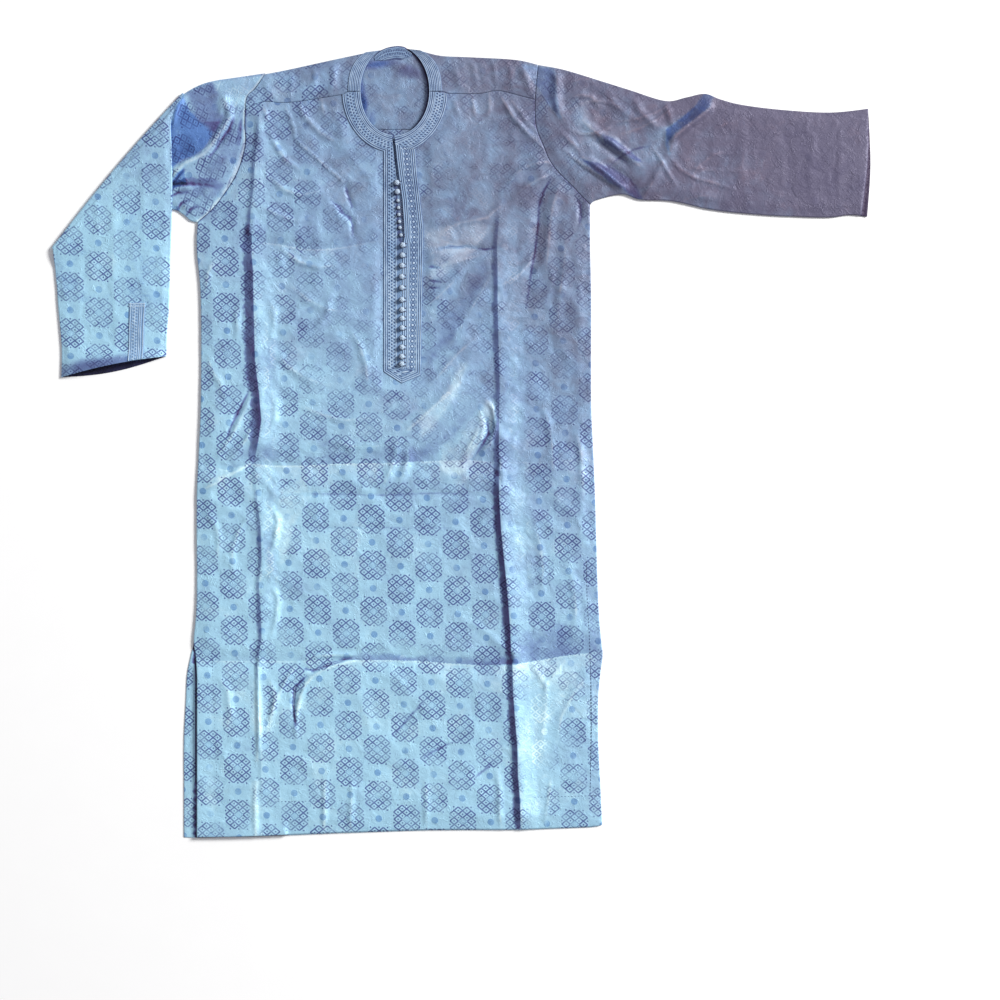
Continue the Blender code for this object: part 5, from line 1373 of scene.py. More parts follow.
class Graph:
    """Helpers for one material's nodes."""

    def __init__(self, name):
        self.material = bpy.data.materials.new(name)
        self.material.use_nodes = True
        self.tree = self.material.node_tree
        self.shader = self.tree.nodes["Principled BSDF"]

    def node(self, kind, **settings):
        made = self.tree.nodes.new(kind)
        for key, value in settings.items():
            setattr(made, key, value)
        return made

    def put(self, socket, value):
        if isinstance(value, Value):
            self.tree.links.new(value.socket, socket)
        elif hasattr(value, "is_linked"):
            self.tree.links.new(value, socket)
        else:
            socket.default_value = value

    def math(self, operation, *values):
        made = self.node("ShaderNodeMath", operation=operation)
        for socket, value in zip(made.inputs, values):
            self.put(socket, value)
        return Value(self, made.outputs[0])

    def length(self, x, y):
        return self.math("SQRT", x * x + y * y)

    def split(self, socket):
        made = self.node("ShaderNodeSeparateXYZ")
        self.put(made.inputs[0], socket)
        return [Value(self, out) for out in made.outputs]

    def noise(self, vector, scale, detail=2.0, roughness=0.5, distortion=0.0):
        made = self.node("ShaderNodeTexNoise")
        self.put(made.inputs["Vector"], vector)
        for key, value in (("Scale", scale), ("Detail", detail), ("Roughness", roughness),
                           ("Distortion", distortion)):
            made.inputs[key].default_value = value
        return Value(self, made.outputs["Fac"])

    def mix(self, share, low, high, blend="MIX"):
        made = self.node("ShaderNodeMix", data_type="RGBA", blend_type=blend)
        self.put(made.inputs[0], share)
        for socket, colour in zip((made.inputs[6], made.inputs[7]), (low, high)):
            self.put(socket, (*colour, 1.0) if isinstance(colour, tuple) else colour)
        return made.outputs[2]

    def bumps(self, *layers):
        """A normal from layers of bumps, each a height, its strength and a depth in m."""
        normal = None
        for height, strength, distance in layers:
            made = self.node("ShaderNodeBump")
            self.put(made.inputs["Height"], height)
            made.inputs["Strength"].default_value = strength
            made.inputs["Distance"].default_value = distance
            if normal is not None:
                self.put(made.inputs["Normal"], normal)
            normal = made.outputs[0]
        return normal

    def in_mm(self, socket):
        scaled = self.node("ShaderNodeVectorMath", operation="SCALE")
        self.put(scaled.inputs[0], socket)
        scaled.inputs["Scale"].default_value = 1 / METRES
        return scaled.outputs[0]

    def coordinates(self):
        """Object coordinates in mm."""
        return self.in_mm(self.node("ShaderNodeTexCoord").outputs["Object"])

    def weave(self):
        """Cloth coordinates in mm."""
        return self.in_mm(self.node("ShaderNodeUVMap", uv_map="weave").outputs[0])

    def tone_tint_motif(self):
        attribute = self.node("ShaderNodeAttribute", attribute_name="tone_tint_motif")
        return self.split(attribute.outputs["Vector"])

    def surface(self, inputs):
        """The material, with values for the shader's inputs by their names."""
        for name, value in inputs.items():
            self.put(self.shader.inputs[name], value)
        return self.material


# The cloth's blue at the hem, and darker and greyer towards the left sleeve, where the darkening is
# painted shade.
HEM_BLUE, MIDDLE_BLUE = (0.385, 0.665, 0.85), (0.237, 0.372, 0.57)
SHADED_SLEEVE_BLUE = (0.110, 0.100, 0.167)
# Stages of painted shade, darker and darker, and a painted highlight.
SHADE_SLATE, SHADE_DARK = (0.50, 0.47, 0.66), (0.50, 0.27, 0.46)
SHADE_BLUE, SHADE_NAVY = (0.28, 0.36, 0.67), (0.30, 0.38, 0.52)
SHADE_BLACK, GLEAM = (0.13, 0.16, 0.26), (1.62, 1.34, 1.16)
LINE_BLUE, DISC_BLUE = (0.19, 0.18, 0.38), (0.46, 0.56, 0.74)
# Where a point lies on the painted shade towards the left sleeve: a start, and a step per mm in x
# and in y.
TINT_START, TINT_PER_X, TINT_PER_Y = 0.414, 0.000734, 0.000622
# The damask: the lattice's cells, the disc between two medallions, the heart of each, and
# the faint ring between the columns.
LATTICE_X, LATTICE_Y = 6.15, 5.1
DISC_EDGE, HEART_EDGE, HEART_RING, GHOST_RING = (4.5, 5.1), (4.2, 4.9), 4.4, 3.0
# Thread colours, and a painted shade that greys the thread towards the left sleeve.
THREAD_LIGHT, THREAD_MIDDLE = (0.56, 0.71, 0.85), (0.19, 0.34, 0.56)
THREAD_DARK, THREAD_PAINTED_SHADE = (0.04, 0.07, 0.19), (0.80, 0.57, 0.58)
BALL_LIGHT, BALL_MIDDLE, BALL_DARK = (0.62, 0.77, 0.89), (0.34, 0.46, 0.61), (0.03, 0.04, 0.10)
FLOOR_DARK, FLOOR_LIGHT = (0.96, 0.96, 0.96), (0.98, 0.98, 0.98)
# Noises on the cloth: scale per mm, detail, roughness and distortion.
TINT_WIDE, TINT_FINE = (0.012, 3.0), (0.036, 4.0, 0.6, 0.6)
WEAR, PATCHES = (0.026, 4.0, 0.62, 0.8), (0.07, 3.0, 0.6, 0.5)
BLOTCHES, MOTTLE = (0.017, 4.0, 0.55, 0.6), (0.11, 4.0, 0.6, 1.0)
WRINKLES, FINE_WRINKLES = (0.05, 3.0, 0.5, 1.0), (0.22, 3.0, 0.55, 0.6)
SHARP_CREASES = (0.035, 4.0, 0.55, 2.0)
# How far a thread turns per mm, in radians.
WEAVE_TURN, STRAND_TURN = 9.0, 5.5


def tint_colour(graph, place, tint):
    """The cloth's blue, which darkens and greys from the right of the hem to the left sleeve as
    painted shade, and how grey it is."""
    x, y, _z = graph.split(place)
    share = x * TINT_PER_X + y * TINT_PER_Y + TINT_START + tint
    grey = share.above(0.55, 0.95)
    share = share + (graph.noise(place, *TINT_WIDE) - 0.5) * 0.3
    share = share + (graph.noise(place, *TINT_FINE) - 0.5) * 0.5
    share = share.above(0.0, 1.0) * 2.0
    colour = graph.mix(share.smaller(1.0), HEM_BLUE, MIDDLE_BLUE)
    return graph.mix((share - 1.0).larger(0.0), colour, SHADED_SLEEVE_BLUE), grey


def lattice_bar(place, other_cell):
    """The sloping bars between one row of cells and the next, within a medallion."""
    line = place.graph.math("FLOOR", place) + 0.5
    total, gap = (line + other_cell).size(), (line - other_cell).size()
    within = total.below(2.7, 2.8) * gap.below(3.7, 3.8) * (total + gap).below(5.7, 5.8)
    return (place - line).size().below(0.07, 0.165) * within


def medallion_place(graph, weave):
    """Where the cloth lies in a medallion, in mm from its middle: x across the columns and
    y along them. Every other column is set half a repeat on."""
    across, along, _z = graph.split(weave)
    column = (across / ROW_PITCH).rounded()
    odd = (column - (column / 2.0).rounded() * 2.0).size()
    y = along - odd * (COLUMN_REPEAT / 2)
    return across - column * ROW_PITCH, y - (y / COLUMN_REPEAT).rounded() * COLUMN_REPEAT


def line_figure(graph, x, y):
    """The fine lattice of a medallion with a dot in each cell: 1 on it, 0 on the ground."""
    u, v = x / LATTICE_X, y / LATTICE_Y
    a, b = (u + v) * 0.5, (u - v) * 0.5
    cell_a, cell_b = a.rounded(), b.rounded()
    off_a, off_b = a - cell_a, b - cell_b
    cell_u, cell_v = (cell_a + cell_b).size(), (cell_a - cell_b).size()
    bars = lattice_bar(a, cell_b).larger(lattice_bar(b, cell_a))
    bars = bars * (u.size() + v.size()).above(1.02, 1.14)
    spot = graph.length((off_a + off_b) * LATTICE_X, (off_a - off_b) * LATTICE_Y)
    spots = spot.below(0.8, 1.5) * (cell_u * 1.4 + cell_v).below(6.9, 7.1)
    spots = spots * cell_v.below(4.4, 4.6) * (cell_u + cell_v).above(0.4, 0.6)
    return bars.larger(spots)


def disc_figure(graph, x, y):
    """The plain disc between two medallions, each one's heart, and the faint rings."""
    discs = graph.length(x, y.size() - COLUMN_REPEAT / 2).below(*DISC_EDGE)
    middle = graph.length(x, y)
    discs = discs.larger(middle.below(*HEART_EDGE) * 0.22)
    discs = discs.larger((middle - HEART_RING).size().below(0.2, 0.8) * 0.75)
    ghost = graph.length(x.size() - ROW_PITCH / 2, y.size() - COLUMN_REPEAT / 4)
    return discs.larger((ghost - GHOST_RING).size().below(0.3, 0.9) * 0.3)


def painted_light_colour(graph, colour, tone, tint):
    """The cloth's colour, with a painted highlight where tone is above 0 and painted shade down to
    about -3.
    """
    bright = graph.mix(1.0, colour, GLEAM, "MULTIPLY")
    colour = graph.mix(tone.above(0.0, 1.0), colour, bright)
    shade_depth = tone * -1.0
    bluer = (tint * -1.0).above(0.12, 0.22)
    shade = graph.mix(bluer, SHADE_SLATE, SHADE_BLUE)
    colour = graph.mix(shade_depth.above(0.0, 1.0), colour, shade, "MULTIPLY")
    shade = graph.mix(bluer, SHADE_DARK, SHADE_NAVY)
    colour = graph.mix(shade_depth.above(0.9, 1.9), colour, shade, "MULTIPLY")
    return graph.mix(shade_depth.above(2.1, 3.1), colour, SHADE_BLACK, "MULTIPLY")


def damask_material(name):
    """Polished cotton damask with a matt figure on a bright ground, crumpled and pressed."""
    graph = Graph(name)
    place, weave = graph.coordinates(), graph.weave()
    tone, tint, motif = graph.tone_tint_motif()
    x, y = medallion_place(graph, weave)
    lines, discs = line_figure(graph, x, y), disc_figure(graph, x, y)
    figure = lines.larger(discs)
    wear, patches = graph.noise(place, *WEAR), graph.noise(place, *PATCHES)
    colour, grey = tint_colour(graph, place, tint)
    contrast = motif * 0.85 + (wear - 0.5) * 2.3 + (patches - 0.5) * 1.4
    contrast = contrast.larger(-1.0).smaller(1.0) * (1.0 - grey * 0.6)
    dark, light = contrast.larger(0.0), (contrast * -1.0).larger(0.0)
    tone = tone + (graph.noise(place, *BLOTCHES) - 0.5) * 1.6
    tone = tone + (graph.noise(place, *MOTTLE) - 0.5) * 0.8
    # The tone, with random blotches added, lays painted highlights and shade on the cloth's blue.
    colour = painted_light_colour(graph, colour, tone, tint)
    colour = graph.mix(lines * dark, colour, LINE_BLUE, "MULTIPLY")
    colour = graph.mix(discs * dark, colour, DISC_BLUE, "MULTIPLY")
    # Where the contrast is below 0 the figure is light on dark: a painted highlight.
    bright = graph.mix(1.0, colour, GLEAM, "MULTIPLY")
    across, along, _z = graph.split(weave)
    threads = graph.math("SINE", across * WEAVE_TURN) * graph.math("SINE", along * WEAVE_TURN)
    thin = (graph.noise(place, *SHARP_CREASES) - 0.5).size().below(0.0, 0.035)
    return graph.surface({
        "Base Color": graph.mix(figure * light, colour, bright),
        "Roughness": figure * 0.12 + (wear - 0.5) * 0.16 + 0.5,
        "Metallic": 0.22,
        "Specular IOR Level": 0.5,
        "Sheen Weight": 0.06,
        "Sheen Roughness": 0.5,
        "Normal": graph.bumps((graph.noise(place, *WRINKLES), 0.7, 0.0018),
                              (graph.noise(place, *FINE_WRINKLES), 0.5, 0.0004),
                              (thin * patches.above(0.47, 0.58), 0.6, 0.0005),
                              (threads * 0.5 + figure, 0.5, 0.0001)),
    })


def thread_material(name, light, middle, dark):
    """Rayon embroidery thread: pale on the cords' backs, a painted highlight, and dark in the gaps,
    painted shade.
    """
    graph = Graph(name)
    place = graph.coordinates()
    tone, _tint, _motif = graph.tone_tint_motif()
    x, y, _z = graph.split(place)
    tone = tone + (graph.noise(place, 0.35, 3.0, 0.6) - 0.5) * 0.5
    tone = tone + (graph.noise(place, 0.02) - 0.5) * 0.3
    colour = graph.mix(tone.above(-0.75, 0.0), dark, middle)
    colour = graph.mix(tone.above(0.0, 0.9), colour, light)
    # Painted shade, as on the cloth, greys the thread towards the left sleeve.
    grey = (x * TINT_PER_X + y * TINT_PER_Y + TINT_START).above(0.25, 1.3)
    strands = graph.math("SINE", (x + y) * STRAND_TURN)
    strands = strands * graph.math("SINE", (x - y) * STRAND_TURN)
    return graph.surface({
        "Base Color": graph.mix(grey, colour, THREAD_PAINTED_SHADE, "MULTIPLY"),
        "Roughness": 0.62 - tone.above(0.0, 1.0) * 0.2,
        "Specular IOR Level": 0.45,
        "Sheen Weight": 0.1,
        "Normal": graph.bumps((strands, 0.6, 0.00015), (graph.noise(place, 0.9), 0.5, 0.0002)),
    })


def floor_material():
    graph = Graph("paper_floor")
    grain = graph.noise(graph.coordinates(), 0.02, 3.0)
    return graph.surface({
        "Base Color": graph.mix(grain, FLOOR_DARK, FLOOR_LIGHT),
        "Roughness": 0.9,
        "Specular IOR Level": 0.1,
    })


# ----------------------------------------------------------------- cut pieces


def top_layer(shell, plan, top, lattice, zones, lip, motif=1.0):
    """The upper face of a piece over its plan. top is an array of heights, and lip says
    which points of the outline are on a cut edge."""
    heights = top - edge_round(plan.distance)
    block = np.column_stack([plan.points, heights])
    x, y = plan.points.T
    start = shell.add(block, plan.faces, weave_of(lattice, x, y), zone_painted_light_tint_motif(zones, x, y, motif))
    add_lip(shell, plan, start, heights, lip)
    return start


def low_layer(shell, plan, lattice):
    """The lower face of a piece, which lies flat."""
    x, y = plan.points.T
    block = np.column_stack([plan.points, edge_round(plan.distance)])
    faces = [face[::-1] for face in plan.faces]
    return shell.add(block, faces, weave_of(lattice, x, y), zone_painted_light_tint_motif((), x, y, 0.8))


def pressed_down(distance, reach=EDGE_PRESSED):
    """Share of a layer's rise that is left near its edge, where it lies flat."""
    return EDGE_RISE_LEFT + (1 - EDGE_RISE_LEFT) * eased(distance / reach)


def front_outline():
    """The front, anticlockwise from its right end of the yoke seam."""
    seam_right, seam_left = yoke_seam_right(-1), yoke_seam_left(-1)
    front_side = SIDES_IN_PLAN["front_right"]
    left_side = smooth_path(column_path(SIDES, "left")[::-1])
    hem_places = [front_side[-1].x] + [p.x for p in HEM[2:]]
    hem = [Vector((x, hem_height(x) + FRONT_HEM_SHORT)) for x in hem_places]
    below = [front_side, [front_side[-1], hem[0]], smooth_path(hem), [hem[-1], left_side[0]],
             left_side]
    outline = outline_of(body_down(seam_right[0].y, PAST_HEM),
                         *[even_path(path, STEP) for path in below],
                         body_up(seam_left[-1].y, PAST_HEM), seam_left[::-1])
    slit = even_path([*column_path(SLIT, "left"), Vector(SLIT_END)], STEP)
    slit += even_path([Vector(SLIT_END), *column_path(SLIT, "right")[::-1]], STEP)[1:]
    outline += oval_arc(NECK_HOLE, 360.0, SLIT_TOP_LEFT, NECK_PARTS) + slit
    outline += oval_arc(NECK_HOLE, SLIT_TOP_RIGHT, 180.0, NECK_PARTS)
    return outline + seam_right[::-1][1:-1]


def laid_rise(plan, reach=EDGE_PRESSED):
    """The front's rise over a plan, pressed down at its edges but for the neck."""
    x, y = plan.points.T
    flat = neck_rise(x, y)
    return flat + (front_rise(x, y) - flat) * pressed_down(plan.distance, reach)


def make_front(cloth):
    lines = pleat_lines() + crease_lines(FRONT_CREASES)
    plan = Plan(front_outline(), 3.0, lines=lines)
    x, y = plan.points.T
    at_vent = (x < VENT_SIDE) * eased((VENT_TOP - y) / VENT_START)
    rise = laid_rise(plan) + VENT_LIFT * at_vent * (1 - eased(plan.distance / VENT_REACH))
    shell = Shell()
    top_layer(shell, plan, FRONT_TOP + rise, BODY_LATTICE, BODY_ZONES, np.ones(plan.size, bool))
    tone_tint_motif = shell.tone_tint_motif[0]
    # Painted light and shade of the pleats, press lines, creases and facets, and dark lines along
    # the armhole seams.
    tone_tint_motif[:, 0] += pleat_painted_light(x, y) + press_painted_light(PRESS_LINES, x, y)
    creases = FRONT_CREASES[PRESS_COUNT:]
    tone_tint_motif[:, 0] += crease_painted_light(creases, x, y) * (1 - embroidered(x, y))
    tone_tint_motif += facet_painted_light_tint_motif(BODY_FACETS, x, y)
    for armhole in (ARMHOLE_RIGHT, ARMHOLE_LEFT):
        tone_tint_motif[:, 0] += seam_tone(armhole, x, y, -1.3)
    return ride(shell.build("front_cloth", cloth), "damask", "front")


def make_back(cloth):
    """The back, with a painted shadow along the vent where the front's edge stands over it."""
    down = body_down(BACK_SEAM_HEIGHT - GAP / 2, PAST_HEM)
    up = body_up(BACK_SEAM_HEIGHT - GAP / 2, PAST_HEM)
    right = even_path(smooth_path(column_path(SIDES, "back_right")), STEP)
    left = even_path(smooth_path(column_path(SIDES, "left")[::-1]), STEP)
    hem = even_path([right[-1], *plain_path(HEM), left[0]], STEP)
    top = even_path([up[-1], down[0]], STEP)
    vent_start = VENT_TOP + 20.0
    front_edge = [p for p in SIDES_IN_PLAN["front_right"] if p.y < vent_start]
    rows = [beside(even_path(front_edge, 2.2), off) for off in (0.4, -1.6, -2.6, -3.6)]
    plan = Plan(outline_of(down, right, hem, left, up, top), 7.0, lines=rows)
    x, y = plan.points.T
    shell = Shell()
    top_layer(shell, plan, np.full(len(x), BACK_TOP), BODY_LATTICE, BODY_ZONES,
              np.ones(plan.size, bool))
    out = np.where(y < vent_start, path_x(front_edge, y) - x, 99.0)
    # Painted shadow along the vent, cast by the front's edge.
    shell.tone_tint_motif[0][:, 0] -= 3.6 * (1 - eased((out - 2.3) / 1.0)) * (x < VENT_SIDE)
    return ride(shell.build("back_cloth", cloth), "damask", "back")


def marked(outline, path):
    """Which points of an outline lie on a path."""
    tree = kdtree.KDTree(len(path))
    for i, point in enumerate(path):
        tree.insert((point.x, point.y, 0), i)
    tree.balance()
    return np.array([tree.find((p.x, p.y, 0))[2] < 0.05 for p in outline])


def fold_points(start, on_fold):
    """The shell's numbers of the points of a block's outline that lie on a fold."""
    return [start + int(i) for i in np.flatnonzero(on_fold)]


def yoke_back_plan(fold_right, fold_left):
    """The yoke's back half, with rows of points round the rim of the neck hole."""
    down = body_down(PAST_TOP, BACK_SEAM_HEIGHT + GAP / 2)
    up = body_up(PAST_TOP, BACK_SEAM_HEIGHT + GAP / 2)
    seam = even_path([down[-1], up[0]], STEP)
    neckline = [fold_left[0], *plain_path(BACK_NECKLINE), fold_right[-1]]
    neck = even_path(smooth_path(neckline), STEP)
    outline = outline_of(down, seam, up, fold_left[::-1], neck, fold_right[::-1])
    rims = [[NECK_CENTRE.lerp(p, share) for p in oval_arc(NECK_HOLE, -88.0, 268.0, 150)]
            for share in RIM_SHARES]
    return Plan(outline, 3.2, lines=rims)


def yoke_back_rise(plan, hole):
    """The crumples of the back inside the neck, which lies flat at the edges and above."""
    x, y = plan.points.T
    rise = (crumple_rise(x, y, 450, 0.5) + 0.4) * (hole < 1.1) * eased((1.1 - hole) / 0.2)
    rise *= np.where(y > 530.0, eased((0.72 - hole) / 0.08), 1.0)
    return rise * eased(plan.distance / 12.0)


def yoke_front_plans(fold_right, fold_left):
    """The yoke's front half, right and left of the neck hole."""
    seam_right, seam_left = yoke_seam_right(1), yoke_seam_left(1)
    rim_right = oval_arc(NECK_HOLE, 180.0, NECK_FOLD_RIGHT, 26)
    rim_left = oval_arc(NECK_HOLE, NECK_FOLD_LEFT, 0.0, 26)
    right = outline_of(body_down(PAST_TOP, seam_right[0].y), seam_right, rim_right,
                       fold_right[::-1])
    left = outline_of(rim_left, seam_left, body_up(PAST_TOP, seam_left[-1].y), fold_left[::-1])
    return Plan(right, STEP), Plan(left, STEP)


def make_yoke(cloth):
    """One piece folded over both shoulders: its back half whole, its front half in two."""
    fold_right, fold_left = shoulder_right(), shoulder_left()
    shell, folds = Shell(), fold_right + fold_left
    back = yoke_back_plan(fold_right, fold_left)
    hole = oval_share(NECK_HOLE, *back.points.T)
    on_fold = marked(back.edge, folds)
    start = top_layer(shell, back, BACK_TOP + yoke_back_rise(back, hole), YOKE_LATTICE,
                      YOKE_ZONES, ~on_fold, 0.5)
    # Painted shade under the rim of the neck hole.
    shell.tone_tint_motif[0][:, 0] += rim_painted_shade(hole, *back.points.T)
    welded = fold_points(start, on_fold)
    for plan in yoke_front_plans(fold_right, fold_left):
        on_fold = marked(plan.edge, folds)
        start = top_layer(shell, plan, FRONT_TOP + laid_rise(plan, 14.0), YOKE_LATTICE,
                          YOKE_ZONES, ~on_fold, 0.8)
        # Painted shade of the left sleeve's first facet, where it reaches onto the yoke.
        shell.tone_tint_motif[-1 - len(LIP_DROPS)] += facet_painted_light_tint_motif(SLEEVE_LEFT_FACETS[:1],
                                                          *plan.points.T)
        welded += fold_points(start, on_fold)
    return ride(weld(shell, welded, "yoke_cloth", cloth), "damask", "yoke")


def rim_painted_shade(hole, x, y):
    """Painted shade under the rim of the neck, widest on the left."""
    on_left = eased((x + 100.0) / 40.0)
    width = 0.02 + 0.045 * on_left * eased((y - 440.0) / 40.0)
    return -3.2 * eased((hole - 1 + width) / 0.035) * (0.45 + 0.55 * on_left) * (hole < 1.05)


def weld(shell, welded, name, material):
    """Builds the mesh with the two layers' fold lines joined at mid height."""
    points = np.vstack(shell.points)
    points[welded, 2] = FOLD_MIDDLE
    keep, new_index = {}, list(range(len(points)))
    for index in welded:
        new_index[index] = keep.setdefault(tuple(np.round(points[index], 3)), index)
    faces = [tuple(new_index[i] for i in face) for face in shell.faces]
    faces = [face for face in faces if len(set(face)) == len(face)]
    used = sorted({i for face in faces for i in face})
    place = {old: new for new, old in enumerate(used)}
    shell.faces = [tuple(place[i] for i in face) for face in faces]
    shell.points = [points[used]]
    shell.weave = [np.vstack(shell.weave)[used]]
    shell.tone_tint_motif = [np.vstack(shell.tone_tint_motif)[used]]
    return shell.build(name, material)


def make_left_sleeve(cloth):
    """A flat tube with its folds along the top and along the underarm seam. At the cuff the
    upper layer stops short, and the lower one shows past it."""
    armhole = armhole_left(1)
    top = even_path(smooth_path([armhole[0], *SLEEVE_TOP]), STEP)
    bottom = even_path(smooth_path([armhole[-1], *SLEEVE_BOTTOM]), STEP)
    cuff = even_path(smooth_path([bottom[-1], *CUFF_EDGE, top[-1]]), STEP)
    outline = outline_of(armhole, bottom, cuff, top[::-1])
    mouth = [place - Vector((CUFF_MOUTH * i / len(cuff), 0)) for i, place in enumerate(cuff[::-1])]
    mouth = mouth[::-1]
    lines = [[place + Vector((off, 0)) for place in mouth] for off in (0.5, -0.7)]
    upper = Plan(outline, 2.7, lines=lines + crease_lines(SLEEVE_LEFT_CREASES))
    lower = Plan(outline, 6.0)
    x, y = upper.points.T
    rise = sleeve_left_rise(x, y) * pressed_down(upper.distance, 16.0)
    on_fold = marked(upper.edge, top + bottom)
    edge_x = path_x(mouth, y)
    past = x > edge_x
    lifted = FRONT_TOP + rise + 0.4 * eased(1 - (edge_x - x) / 14.0)
    shell = Shell()
    start = top_layer(shell, upper, np.where(past, BACK_TOP + 0.4, lifted),
                      SLEEVE_LEFT_LATTICE, SLEEVE_LEFT_ZONES, ~on_fold, 0.9)
    tone_tint_motif = shell.tone_tint_motif[0]
    # Painted light and shade of the creases and facets, and painted shade where the lower layer
    # shows past the upper one at the cuff.
    tone_tint_motif[:, 0] += crease_painted_light(SLEEVE_LEFT_CREASES, x, y) * np.where(x > 380, 0.3, 0.8)
    tone_tint_motif[:, 0] -= 1.8 * past
    tone_tint_motif += facet_painted_light_tint_motif(SLEEVE_LEFT_FACETS, x, y)
    welded = fold_points(start, on_fold)
    welded += fold_points(low_layer(shell, lower, SLEEVE_LEFT_LATTICE), on_fold)
    return ride(weld(shell, welded, "sleeve_left_cloth", cloth), "damask", "sleeve_left")


# -------------------------------------------------------- folded right sleeve

RING_STEP = 2.7
ACROSS_COUNT = 58
TURN_STEPS = 5
ELBOW_TURNS = 8
ARMHOLE_RINGS = 4
ELBOW_AXIS = FOLD_MIDDLE + LAYER_STEP
UP = np.array([0.0, 0.0, 1.0])

Part = namedtuple("Part", "lattice zones creases crease_share press_lines seams facets")
UPPER_PART = Part(UPPER_ARM_LATTICE, UPPER_ARM_ZONES, UPPER_ARM_CREASES, 1.0, ARM_PRESS_LINES,
                  (ARMHOLE_RIGHT,), UPPER_ARM_FACETS)
ELBOW_PART = Part(FOREARM_LATTICE, FOREARM_ZONES, (), 0.0, (), (), ())
FORE_PART = Part(FOREARM_LATTICE, FOREARM_ZONES, FOREARM_CREASES, 0.3, (), (), ())


def between_stations(stations, step):
    """Stations with smooth ones added between, about step mm apart."""
    outer = smooth_path([Point(s.outer_x, s.outer_y) for s in stations], 12)
    under = smooth_path([Point(s.under_x, s.under_y) for s in stations], 12)
    middle = [(a + b) / 2 for a, b in zip(outer, under)]
    reach = [(b - a).length for a, b in zip(middle, middle[1:])]
    swing = [max((b - a).length, (d - c).length)
             for a, b, c, d in zip(outer, outer[1:], under, under[1:])]
    lengths = np.cumsum([0.0] + [0.5 * (r + s) for r, s in zip(reach, swing)])
    places = np.linspace(0, lengths[-1], max(2, round(lengths[-1] / step)) + 1)
    columns = []
    for path in (outer, under):
        for axis in (0, 1):
            columns.append(np.interp(places, lengths, [p[axis] for p in path]))
    return np.column_stack(columns)


def ring_points(centres, front_way, outs, front_lift, back_lift):
    """One ring round the flat tube: front layer, one edge, back layer, the other edge."""
    radius = FOLD_MIDDLE
    turns = [math.pi * step / TURN_STEPS for step in range(1, TURN_STEPS)]
    edges = [[centre + (front_way * math.cos(angle) * turn + out * math.sin(angle)) * radius
              for angle in turns]
             for turn, centre, out in ((1, centres[-1], outs[1]), (-1, centres[0], outs[0]))]
    front = centres + front_way * radius + front_lift[:, None] * front_way
    back = centres - front_way * radius - back_lift[:, None] * front_way
    return np.vstack([front, edges[0], back[::-1], edges[1]])


def tube_faces(rows, size, flip=False):
    """The four-sided faces between rows of points that each go round size points."""
    faces = []
    for low in range(0, (rows - 1) * size, size):
        for i in range(size):
            j = (i + 1) % size
            if flip:
                faces.append((low + i, low + size + i, low + size + j, low + j))
            else:
                faces.append((low + i, low + j, low + size + j, low + size + i))
    return faces


class Tube:
    """The flat tube in the making, ring by ring. shares are places across it, 0 to 1."""

    def __init__(self):
        inner = np.linspace(0, 1, ACROSS_COUNT)
        self.shares = np.concatenate([[0.0, 0.006], inner[1:-1], [0.994, 1.0]])
        self.calm = eased(np.minimum(self.shares, 1 - self.shares) * 150.0 / 9.0)
        self.bow = np.sin(math.pi * self.shares)
        self.rings, self.weaves, self.tone_tint_motifs = [], [], []

    def across(self, ends):
        """Points in plan from the outer to the under edge of a station."""
        return ends[:2] + (ends[2:] - ends[:2]) * self.shares[:, None]

    def add(self, part, plan, height, way, front_lift, back_lift):
        """Adds a ring. way is where its front layer faces."""
        across = Vector(plan[-1] - plan[0]).normalized()
        outs = [np.array([side * across.x, side * across.y, 0.0]) for side in (-1, 1)]
        centres = np.column_stack([plan, height + 0 * self.shares])
        ring = ring_points(centres, way, outs, front_lift + 0 * self.shares,
                           back_lift + 0 * self.shares)
        x, y = ring[:, :2].T
        tone_tint_motif = zone_painted_light_tint_motif(part.zones, x, y)
        # Painted light and shade of the creases, press lines and facets, and pale lines along the
        # seams.
        tone_tint_motif[:, 0] += part.crease_share * crease_painted_light(part.creases, x, y)
        tone_tint_motif[:, 0] += press_painted_light(part.press_lines, x, y)
        for seam in part.seams:
            tone_tint_motif[:, 0] += seam_tone(seam, x, y, 1.8)
        tone_tint_motif += facet_painted_light_tint_motif(part.facets, x, y)
        self.rings.append(ring)
        self.weaves.append(weave_of(part.lattice, x, y))
        self.tone_tint_motifs.append(tone_tint_motif)

    def front_and_back(self):
        """Which points of a ring are on its front layer, and which on its back layer."""
        count = len(self.shares)
        back = count + TURN_STEPS - 1
        return slice(count), slice(back, back + count)

    def piece(self, name, material):
        shell = Shell()
        shell.add(np.vstack(self.rings), tube_faces(len(self.rings), len(self.rings[0])),
                  np.vstack(self.weaves), np.vstack(self.tone_tint_motifs))
        return shell.build(name, material)


